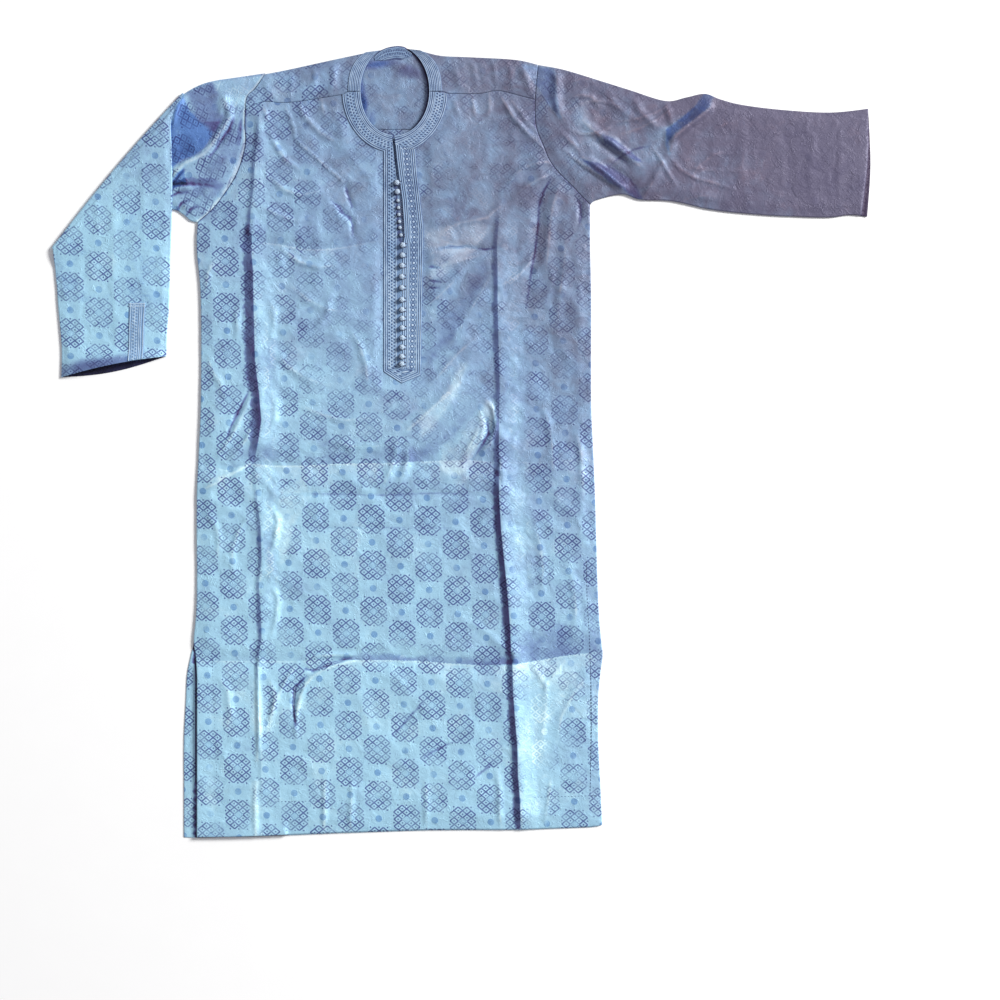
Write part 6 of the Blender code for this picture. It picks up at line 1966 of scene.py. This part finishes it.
def add_upper_arm(tube):
    """From the armhole, where the rings turn from its curve to a straight, to the elbow."""
    armhole = armhole_right(-1)
    along = np.linspace(0, 1, len(armhole))
    curve = np.column_stack([np.interp(tube.shares, along, [p[axis] for p in armhole])
                             for axis in (0, 1)])
    stations = between_stations((*UPPER_ARM, ELBOW), RING_STEP)[:-1]
    for part in range(ARMHOLE_RINGS):
        mixed = part / ARMHOLE_RINGS
        plan = curve * (1 - mixed) + tube.across(stations[0]) * mixed
        lift = upper_arm_rise(*plan.T) * tube.calm * (0.3 + 0.7 * mixed)
        tube.add(UPPER_PART, plan, FOLD_MIDDLE, UP, lift, 0.0)
    for to_elbow, ends in zip(range(len(stations) - 1, -1, -1), stations):
        plan = tube.across(ends)
        lift = upper_arm_rise(*plan.T) * (tube.calm * eased(to_elbow / 5.0))
        room = UPPER_ARM_ROOM + 4.0 * eased((plan[:, 0] + 418.0) / 10.0)
        tube.add(UPPER_PART, plan, FOLD_MIDDLE, UP, np.minimum(lift, room), 0.0)


def add_elbow(tube):
    """The turn, where the tube rolls over onto itself."""
    elbow = tube.across(np.array(ELBOW))
    across = Vector(elbow[-1] - elbow[0]).normalized()
    out = np.array([across.y, -across.x, 0.0])
    bowed = elbow + out[:2] * (ELBOW_BOW * tube.bow)[:, None]
    for turn in range(ELBOW_TURNS + 1):
        angle = math.pi * turn / ELBOW_TURNS
        way = out * -math.sin(angle) + UP * math.cos(angle)
        plan = bowed - way[:2] * LAYER_STEP
        tube.add(ELBOW_PART, plan, ELBOW_AXIS - way[2] * LAYER_STEP, way, 0.0, 0.0)


def add_forearm(tube):
    """From the elbow down to the open cuff. It sinks beside the upper arm's under edge."""
    start, end = np.array(UPPER_ARM[1][2:]), np.array(ELBOW[2:])
    edge_way = (end - start) / np.linalg.norm(end - start)
    top = ELBOW_AXIS + LAYER_STEP
    front, back = tube.front_and_back()
    stations = between_stations((ELBOW, *FOREARM), RING_STEP)[1:]
    for place, ends in enumerate(stations):
        plan = tube.across(ends)
        past = edge_way[0] * (plan[:, 1] - start[1]) - edge_way[1] * (plan[:, 0] - start[0])
        height = top - eased((past - SINK_CLEAR) / SINK_REACH) * (top - FOLD_MIDDLE)
        lift = forearm_rise(*plan.T) * (tube.calm * eased(place / 5.0))
        to_cuff = len(stations) - 1 - place
        near_cuff = tube.bow * eased(1 - to_cuff / CUFF_RINGS)
        tube.add(FORE_PART, plan, height, -UP, 0.0, lift + CUFF_LIFT * near_cuff)
        tube.rings[-1][front, 1] -= CUFF_UNDER_BOW * near_cuff
        tube.rings[-1][back, 1] += CUFF_TOP_BOW * near_cuff[::-1]
        # Painted shade on the lower layer near the cuff, seen inside the open mouth.
        tube.tone_tint_motifs[-1][front, 0] -= 3.3 * (to_cuff < 6)
    return np.array([ring[back][::-1] for ring in tube.rings[-len(stations):]])


def make_right_sleeve(cloth, thread):
    """The tube folded back on itself: upper arm, the turn at the elbow, and forearm."""
    tube = Tube()
    add_upper_arm(tube)
    add_elbow(tube)
    forearm = add_forearm(tube)
    make_cuff_border(thread, forearm, tube.shares)
    return ride(tube.piece("sleeve_right_cloth", cloth), "damask", "sleeve_right")


def net_on_rings(tops, shares, rows, columns):
    """Points of the sleeve at rows, numbers of its rings, and columns, places across it."""
    net = np.empty((len(rows), len(columns), 3))
    for axis in range(3):
        by_row = np.array([np.interp(rows, np.arange(len(tops)), tops[:, j, axis])
                           for j in range(len(shares))])
        net[..., axis] = np.array([np.interp(columns, shares, by_row[:, k])
                                   for k in range(len(rows))])
    return net


def make_cuff_border(thread, tops, shares):
    """The strip of lace and cords up the right cuff, over the sleeve's own points."""
    low, high = CUFF_BORDER_SHARES
    middle = np.argmin(np.abs(shares - (low + high) / 2))
    first = np.interp(-CUFF_BORDER_TOP, -tops[:, middle, 1], np.arange(len(tops)))
    length = tops[int(first), middle, 1] - tops[-1, middle, 1]
    rows = np.linspace(first, len(tops) - 1.3, int(length / NET_STEP))
    columns = np.linspace(low + 0.001, high - 0.001, 46)
    net = net_on_rings(tops, shares, rows, columns)
    width = np.hypot(*(net[:, -1, :2] - net[:, 0, :2]).T)[:, None]
    d = np.linspace(0, 1, len(columns))[None, :] * width
    s = net[0, :, 1][None, :] - net[..., 1]
    cords = ((1.6, 2.4), (5.4, 1.9), (7.8, 1.9), (20.8, 2.4))
    height, tone = strip_relief(d, s, PAST_EDGE, cords, ((10.2, 18.6, 4.6),))
    for centre in (1.4, 4.8):
        height = np.maximum(height, cord(s, centre, 2.4))
        tone = np.maximum(tone, 0.9 * cord_tone(s, centre, 2.4) - 0.3)
    ground = net[..., 2]
    shell = net_shell(net[..., :2], ground + STRIP_LIFT + height, tone + 0.12,
                      ground - STRIP_SKIRT)
    return ride(shell.build("cuff_border_right_stitched", thread), "embroidery",
                "cuff_border_right")


# ------------------------------------------------------------------ embroidery
# Each strip is a fine net of points over its own plan, raised by the cords and the lace
# that are stitched on it. d is the distance in mm across a strip, s the one along it.

NET_STEP = 0.62
STRIP_LIFT, STRIP_SKIRT = 0.35, 0.4
# A width for strip_relief that leaves a strip's far edge as high as the rest.
PAST_EDGE = 99.0


def cord(d, centre, width, height=0.75):
    """The round back of a cord laid along a strip."""
    off = np.clip(np.abs(d - centre) / (width / 2), 0, 1)
    return height * np.sqrt(1 - off ** 2)


# The painted highlight along the back of a cord.
def cord_tone(d, centre, width):
    return 1 - eased(np.abs(d - centre) / (width * 0.55))


def lace_dots(d, s, start, end, pitch):
    """A net with staggered holes between two distances: height and tone."""
    rows = max(2, round((end - start) / 3.6))
    across = (d - start) / (end - start) * rows
    row = np.floor(across)
    wander = 0.9 * soft_noise(s, d * 3.0, 9.0, 91)
    along = (s + wander) / pitch + 0.5 * (row % 2)
    hole = np.hypot((across - row - 0.5) * 3.2, (along - np.floor(along) - 0.5) * pitch)
    within = (d > start) & (d < end)
    net = eased((hole - 0.7) / 1.0)
    bar = 0.35 * (np.abs(along - np.floor(along) - 0.5) < 0.16)
    return within * (0.15 + 0.55 * net), within * (net * (1.15 + bar) - 0.85)


def lace_rings(d, s, start, end, pitch):
    """A row of small rings with short bars between them: height and tone."""
    middle = (start + end) / 2
    step = s / pitch + 0.15 * soft_noise(s, d, 23.0, 92)
    along = (step - np.floor(step) - 0.5) * pitch
    ring = np.abs(np.hypot((d - middle) * 0.9, along) - 2.3)
    bars = np.abs(np.abs(along) - pitch / 2)
    edges = np.minimum(np.abs(d - start - 1.0), np.abs(d - end + 1.0))
    within = (d > start) & (d < end)
    dark = np.maximum(1 - eased(ring / 1.35), 0.9 * (1 - eased(bars / 1.0)))
    dark = np.maximum(dark, 0.9 * (1 - eased(edges / 1.0)) * (np.abs(along) > 1.2))
    return within * (0.7 - 0.5 * dark), within * (0.65 - 1.6 * dark)


def strip_relief(d, s, width, cords, laces, rings=()):
    """Height and tone over a strip with cords at some distances and lace between others."""
    height, tone = np.full(d.shape, 0.1), np.full(d.shape, -0.6)
    for centre, size in cords:
        twist = 1 + 0.12 * np.sin(s * 2.4 + d * 2.0)
        height = np.maximum(height, cord(d, centre, size) * twist)
        tone = np.maximum(tone, 1.25 * cord_tone(d, centre, size) - 0.6)
    bands = [(lace_dots, *band) for band in laces] + [(lace_rings, *band) for band in rings]
    for lace, start, end, pitch in bands:
        rise, shade = lace(d, s, start, end, pitch)
        within = (d > start) & (d < end)
        height, tone = np.where(within, rise, height), np.where(within, shade, tone)
    uneven = soft_noise(s, d * 2.0, 12.0, 93)
    edge = np.minimum(d, width - d)
    return height * eased((edge + 0.3) / 0.8), tone + 0.22 * uneven


def net_shell(places, tops, tones, skirts):
    """A mesh over a net of points (rows, columns, 2), with its rim turned down."""
    wide = np.pad(places, ((1, 1), (1, 1), (0, 0)), mode="edge")
    high = np.pad(tops, 1, mode="edge")
    skirt = np.pad(skirts, 1, mode="edge")
    rim = np.ones(high.shape, bool)
    rim[1:-1, 1:-1] = False
    high = np.where(rim, skirt, high)
    tone_tint_motif = np.zeros((*high.shape, 3))
    tone_tint_motif[..., 0] = np.pad(tones, 1, mode="edge")
    rows, columns = high.shape
    index = np.arange(rows * columns).reshape(rows, columns)
    quads = np.stack([index[:-1, :-1], index[1:, :-1], index[1:, 1:], index[:-1, 1:]], -1)
    points = np.column_stack([wide.reshape(-1, 2), high.ravel()])
    corners = quads.reshape(-1, 4)
    a, b, c = (points[corners[:, i]][:, :2] for i in (0, 1, 2))
    turn = np.cross(b - a, c - b).mean()
    if turn < 0:
        corners = corners[:, ::-1]
    shell = Shell()
    shell.add(points, corners.tolist(), None, tone_tint_motif.reshape(-1, 3))
    return shell


def lifted_strip(name, thread, places, height, tone):
    """An embroidered strip on the front or the yoke, on the surface of the cloth. It is
    named after the CAD node that it stands for."""
    flat = places.reshape(-1, 2)
    ground = (FRONT_TOP + front_rise(flat[:, 0], flat[:, 1])).reshape(height.shape)
    shell = net_shell(places, ground + STRIP_LIFT + height, tone, ground - STRIP_SKIRT)
    return ride(shell.build(name, thread), "embroidery", name.replace("_stitched", ""))


def lerp_grid(low, high, count):
    """Points between two paths of equal length: (len(path), count, 2)."""
    low, high = np.array(low)[:, None, :], np.array(high)[:, None, :]
    return low + (high - low) * np.linspace(0, 1, count)[None, :, None]


def oval_points(oval, ends, count):
    return np.array([tuple(on_oval(oval, angle)) for angle in np.linspace(*ends, count)])


def bent_at(corner, start, end, count):
    """Places from start to end by way of a corner, at even steps of each part."""
    first, second = np.hypot(*(corner - start)), np.hypot(*(end - corner))
    part = first / (first + second)
    share = np.linspace(0, 1, count)[:, None]
    return np.where(share < part, start + (corner - start) * share / part,
                    corner + (end - corner) * (share - part) / (1 - part))


def neck_strip(name, thread, outer_oval, inner_ends, outer_ends, corner, pattern):
    """A strip of the border round the neck hole, from one angle to another. corner is the
    slit's upper corner, where the strip's last edge bends."""
    length = 1.25 * np.hypot(*np.diff(oval_points(NECK_HOLE, inner_ends, 400), axis=0).T).sum()
    count = int(length / NET_STEP)
    inner = oval_points(NECK_HOLE, inner_ends, count)
    outer = oval_points(outer_oval, outer_ends, count)
    widths = np.hypot(*(outer - inner).T)[:, None]
    places = lerp_grid(inner, outer, int(widths.max() / 0.5))
    if corner is not None:
        first, last = places[-1, 0].copy(), places[-1, -1].copy()
        bent = bent_at(np.array(corner), first, last, places.shape[1])
        pull = np.linspace(0, 1, count)[:, None, None] ** 6
        places = places + pull * (bent - places[-1])[None]
    d = np.linspace(0, 1, places.shape[1])[None, :] * widths
    s = np.linspace(0, length, count)[:, None] + 0 * d
    height, tone = pattern(d, s, widths + 0 * d)
    lifted_strip(name, thread, places, height, tone)


def yoke_pattern(d, s, width):
    cords = [(c, 1.8) for c in (1.1, 3.1, 5.6, 8.0, 10.4, 12.8, 15.1, 17.2)]
    d = d * 18.4 / np.maximum(width, 6.0)
    return strip_relief(d, s, 18.4, cords, ())


def front_pattern(d, s, width):
    d = d * 26.0 / width
    cords = [(c, 1.9) for c in (1.1, 3.3, 6.0, 8.2, 21.8, 24.5)]
    return strip_relief(d, s, 26.0, cords, ((9.4, 20.4, 4.8),))


def placket_strip(name, thread, outer_path, inner_path, tops, pattern, side):
    """One strip of the placket. Its lower end is one half of a point."""
    rows, columns = int((tops[0][1] - PLACKET_POINT.y) / NET_STEP), 60
    share = np.linspace(0, 1, columns)[None, :]
    top = tops[0][1] + (tops[1][1] - tops[0][1]) * share
    corner = Vector(outer_path[-2])
    bottom = corner.y + (PLACKET_POINT.y - corner.y) * share
    y = top + (bottom - top) * np.linspace(0, 1, rows)[:, None]
    outer_x = path_x(outer_path[:-1], y)
    inner_x = path_x(inner_path, y) - side * GAP / 2
    x = outer_x + (inner_x - outer_x) * share
    slope = (Vector(PLACKET_POINT) - corner).normalized()
    to_point = np.abs((x - corner.x) * slope.y - (y - corner.y) * slope.x)
    d = np.minimum(np.abs(x - outer_x), to_point)
    height, tone = pattern(d, y, np.abs(x - inner_x))
    lifted_strip(name, thread, np.stack([x, y], -1), height, tone)


def placket_right_pattern(d, s, to_join):
    cords = ((1.6, 1.9), (4.2, 1.9), (18.6, 2.0))
    height, tone = strip_relief(d, s, PAST_EDGE, cords, ((6.2, 17.2, 4.8),))
    facing = d > 20.0
    zigzag = np.abs((s / 5.0) % 1.0 - 0.5) * 4.0 + 0.6
    stitch = 1 - eased(np.abs(to_join - zigzag) / 0.7)
    below = eased((262.0 - s) / 6.0)
    height = np.where(facing, 0.15 + 0.35 * stitch * below, height)
    tone = np.where(facing, -0.32 + 0.75 * stitch * below, tone)
    open_slit = eased((372.0 - s) / 14.0) * eased((s - 280.0) / 22.0)
    sawtooth = 1.9 + 2.4 * np.abs((s / 9.6) % 1.0 - 0.5) * 2
    shade = open_slit * (1 - eased((to_join - sawtooth) / 0.9))
    return height * (1 - shade), tone * (1 - shade) - 1.9 * shade + placket_light(s)


def placket_left_pattern(d, s, to_join):
    cords = [(c, 1.9) for c in (1.6, 4.3, 7.2)]
    height, tone = strip_relief(d, s, PAST_EDGE, cords, (), ((8.7, 18.2, 7.4),))
    near = (to_join < 10.4) & (d > 18.2)
    tone = np.where(near, -0.6, tone)
    for centre in (1.5, 4.3, 7.1, 9.6):
        back = cord(to_join, centre, 2.3, 0.9)
        light = 1.15 * cord_tone(to_join, centre, 2.3) - 0.55
        height = np.where(near, np.maximum(height, back), height)
        tone = np.where(near, np.maximum(tone, light), tone)
    return height, tone + placket_light(s)


def placket_light(s):
    """The lower half of the placket is the brighter."""
    return 0.14 * eased((270.0 - s) / 20.0) - 0.05


def make_neck_borders(thread):
    right, left = (SLIT[0].right, SLIT[0].y), (SLIT[0].left, SLIT[0].y)
    strips = (
        ("yoke_right", YOKE_BORDER, (180.0, NECK_FOLD_RIGHT + 0.6),
         (180.0, YOKE_BORDER_RIGHT + 0.6), None, yoke_pattern),
        ("yoke_left", YOKE_BORDER, (0.0, NECK_FOLD_LEFT - 0.6),
         (0.0, YOKE_BORDER_LEFT - 0.6), None, yoke_pattern),
        ("front_right", FRONT_BORDER, (180.4, SLIT_TOP_RIGHT),
         (FRONT_BORDER_SEAM_RIGHT + 0.3, FRONT_BORDER_RIGHT), right, front_pattern),
        ("front_left", FRONT_BORDER, (359.6, SLIT_TOP_LEFT),
         (FRONT_BORDER_SEAM_LEFT - 0.3, FRONT_BORDER_LEFT), left, front_pattern),
    )
    for place, *strip in strips:
        neck_strip(f"neck_border_{place}_stitched", thread, *strip)


def make_back_border(thread):
    """The border on the back, as it shows between the folds of the shoulders."""
    angles = np.linspace(60.0, 128.0, 130)
    outer = np.array([tuple(NECK_CENTRE.lerp(on_oval(NECK_HOLE, a), 0.985)) for a in angles])
    top = np.interp(outer[:, 0], *np.array(BACK_NECKLINE)[::-1].T) - 0.6
    middle = np.abs(outer[:, 0] + 94.3) < 13.0
    outer[middle, 1] = np.minimum(outer[middle, 1] + 3.0, top[middle])
    low = np.interp(outer[:, 0], *np.array(BACK_BORDER_LOW).T)
    inner = np.column_stack([outer[:, 0], np.minimum(low, outer[:, 1] - 0.5)])
    places = lerp_grid(inner, outer, 34)
    d = np.hypot(*(places - outer[:, None, :]).transpose(2, 0, 1))
    s = np.linspace(0, 85, len(angles))[:, None] + 0 * d
    height, tone = strip_relief(d, s, 16.0, ((2.0, 2.2), (13.2, 2.2), (15.6, 2.2)),
                                ((3.4, 11.8, 3.6),))
    ground = np.full(height.shape, BACK_TOP + 0.25)
    shell = net_shell(places, ground + height * 0.8, tone - 0.2, ground - 0.3)
    return ride(shell.build("neck_border_back_stitched", thread), "embroidery",
                "neck_border_back")


def make_plackets(thread):
    """The two strips beside the slit, which meet below it down to their point."""
    strips = (("right", 1, FRONT_BORDER_RIGHT, PLACKET_RIGHT_EDGE, placket_right_pattern),
              ("left", -1, FRONT_BORDER_LEFT, PLACKET_LEFT_EDGE, placket_left_pattern))
    for column, side, angle, edge, pattern in strips:
        top, slit = tuple(on_oval(FRONT_BORDER, angle)), column_path(SLIT, column)
        placket_strip(f"placket_{column}_stitched", thread, [top, *edge, PLACKET_POINT],
                      slit + placket_join(), (top, slit[0]), pattern, side)


def tone_only(tones):
    """Tones alone, with no tint or motif."""
    return np.column_stack([tones, 0 * tones, 0 * tones])


def make_buttons(thread):
    """Ball buttons of wound cord, and the small loops that reach to them over the slit."""
    shell = Shell()
    theta = np.linspace(0, math.pi, BALL_RINGS + 1)[:, None]
    phi = np.linspace(0, 2 * math.pi, BALL_SEGMENTS, endpoint=False)[None, :]
    faces = tube_faces(BALL_RINGS + 1, BALL_SEGMENTS, flip=True)
    for number, y in enumerate(BUTTON_HEIGHTS):
        x = button_line(y)
        radius = BUTTON_DIAMETER / 2 * (SMALL_BALL if number in SMALL_BUTTONS else 1.0)
        groove = np.cos(5 * phi + 3.0 * np.cos(theta) + number)
        wound = (1 + 0.055 * groove) * (1 - 0.10 * np.exp(-((theta - 0.3) / 0.22) ** 2))
        seat = float(FRONT_TOP + front_rise(np.array([x]), np.array([y]))[0]) + 1.0
        points = np.stack([
            x + radius * wound * np.sin(theta) * np.cos(phi),
            y + radius * wound * np.sin(theta) * np.sin(phi),
            seat + radius * BUTTON_SQUASH * (1 + wound * np.cos(theta)),
        ], -1)
        shell.add(points.reshape(-1, 3), faces, None, tone_only((0.25 * groove + 0.28).ravel()))
        add_loop(shell, x, y, seat, radius)
    names = [f"button_{n:02d}" for n in range(1, len(BUTTON_HEIGHTS) + 1)]
    return ride(shell.build("ball_buttons", thread), "button_thread", *names)


def add_loop(shell, x, y, seat, radius):
    """A cord loop that comes out of the left strip and lies round a button's neck. Its dark tone is
    painted shade on the button's left.
    """
    turns, reach = np.linspace(-0.5 * math.pi, 0.5 * math.pi, 13), radius * 0.95
    neck = [(x - 0.4 - reach * math.cos(turn), y + reach * math.sin(turn)) for turn in turns]
    path = [(x + LOOP_TAIL, y - radius * 0.55), *neck, (x + LOOP_TAIL, y + radius * 0.55)]
    add_cord(shell, [(px, py, seat + 0.35) for px, py in path], LOOP_CORD, LOOP_SHADE, 6)


def add_cord(shell, path, radius, tone, sides):
    """A thin round cord through points in space."""
    path = np.array(path, float)
    along = np.gradient(path, axis=0)
    along /= np.linalg.norm(along, axis=1)[:, None]
    across = np.cross(along, [0.0, 0.0, 1.0])
    across /= np.maximum(np.linalg.norm(across, axis=1), 1e-6)[:, None]
    up = np.cross(across, along)
    angles = np.linspace(0, 2 * math.pi, sides, endpoint=False)
    rings = [path + radius * (across * math.cos(a) + up * math.sin(a)) for a in angles]
    points = np.stack(rings, 1).reshape(-1, 3)
    ends = [tuple(range(sides))[::-1], tuple(range(len(points) - sides, len(points)))]
    shell.add(points, tube_faces(len(path), sides) + ends, None,
              tone_only(np.full(len(points), tone)))


def stitch_line(shell, path):
    """Machine stitches along a path, each a short cord that dips into the front."""
    places = even_path(path, STITCH + STITCH_GAP)
    for start, end in zip(places, places[1:]):
        way = (end - start).normalized() * STITCH
        line = np.array([start + way * t for t in (0.0, 0.35, 0.65, 1.0)])
        heights = FRONT_TOP + front_rise(*line.T) * pressed_down(np.full(len(line), 14.0))
        heights += STITCH_RADIUS * np.array([-0.6, 0.7, 0.7, -0.6])
        add_cord(shell, np.column_stack([line, heights]), STITCH_RADIUS, STITCH_TONE, 5)


def make_stitches(thread):
    """The rows of machine stitching on the hem and down the facings of the vents."""
    shell = Shell()
    for row in STITCH_ROWS:
        stitch_line(shell, smooth_path(row))
    return ride(shell.build("seam_stitches", thread), "embroidery")


# ------------------------------------------------------------ camera and light

CAMERA_POINT = Vector((0.0543, -0.0829, 0.0))
PICTURE_WIDTH = 1.43
LENS, SENSOR = 85.0, 36.0
KEY_AZIMUTH, KEY_ELEVATION, KEY_DISTANCE = 30.0, 31.0, 8.0
KEY_SIZE, KEY_POWER, KEY_COLOUR = 2.6, 1000.0, (1.0, 1.0, 0.97)
WORLD_COLOUR, WORLD_STRENGTH = (0.95, 0.94, 1.0), 0.40
FLOOR_HALF, FLOOR_DROP = 6.0, 0.0004


def make_camera():
    data = bpy.data.cameras.new("camera")
    data.lens, data.sensor_width = LENS, SENSOR
    data.clip_end = 50.0
    camera = bpy.data.objects.new("camera", data)
    camera.location = CAMERA_POINT + Vector((0, 0, PICTURE_WIDTH * LENS / SENSOR))
    bpy.context.scene.collection.objects.link(camera)
    bpy.context.scene.camera = camera


def make_light():
    scene = bpy.context.scene
    scene.view_settings.view_transform = "Standard"
    scene.view_settings.look = "None"
    world = bpy.data.worlds.new("studio")
    world.use_nodes = True
    background = world.node_tree.nodes["Background"]
    background.inputs["Color"].default_value = (*WORLD_COLOUR, 1.0)
    background.inputs["Strength"].default_value = WORLD_STRENGTH
    scene.world = world
    azimuth, elevation = math.radians(KEY_AZIMUTH), math.radians(KEY_ELEVATION)
    way = Vector((math.cos(azimuth) * math.cos(elevation),
                  math.sin(azimuth) * math.cos(elevation), math.sin(elevation)))
    data = bpy.data.lights.new("key", "AREA")
    data.shape, data.size = "DISK", KEY_SIZE
    data.energy, data.color = KEY_POWER, KEY_COLOUR
    key = bpy.data.objects.new("key", data)
    key.location = CAMERA_POINT + way * KEY_DISTANCE
    key.rotation_euler = way.to_track_quat("Z", "Y").to_euler()
    scene.collection.objects.link(key)


def make_floor():
    corners = [(x * FLOOR_HALF, y * FLOOR_HALF, 0) for x, y in ((-1, -1), (1, -1), (1, 1), (-1, 1))]
    data = bpy.data.meshes.new("floor")
    data.from_pydata(corners, [], [(0, 1, 2, 3)])
    data.materials.append(floor_material())
    floor = bpy.data.objects.new("floor", data)
    floor.location.z = -FLOOR_DROP
    bpy.context.scene.collection.objects.link(floor)


def main():
    make_camera()
    make_light()
    make_floor()
    cloth = damask_material("damask_cotton")
    make_back(cloth)
    make_yoke(cloth)
    make_front(cloth)
    make_left_sleeve(cloth)
    thread = thread_material("rayon_thread", THREAD_LIGHT, THREAD_MIDDLE, THREAD_DARK)
    make_right_sleeve(cloth, thread)
    make_neck_borders(thread)
    make_back_border(thread)
    make_plackets(thread)
    ball = thread_material("button_cord", BALL_LIGHT, BALL_MIDDLE, BALL_DARK)
    make_buttons(ball)
    make_stitches(thread)


main()
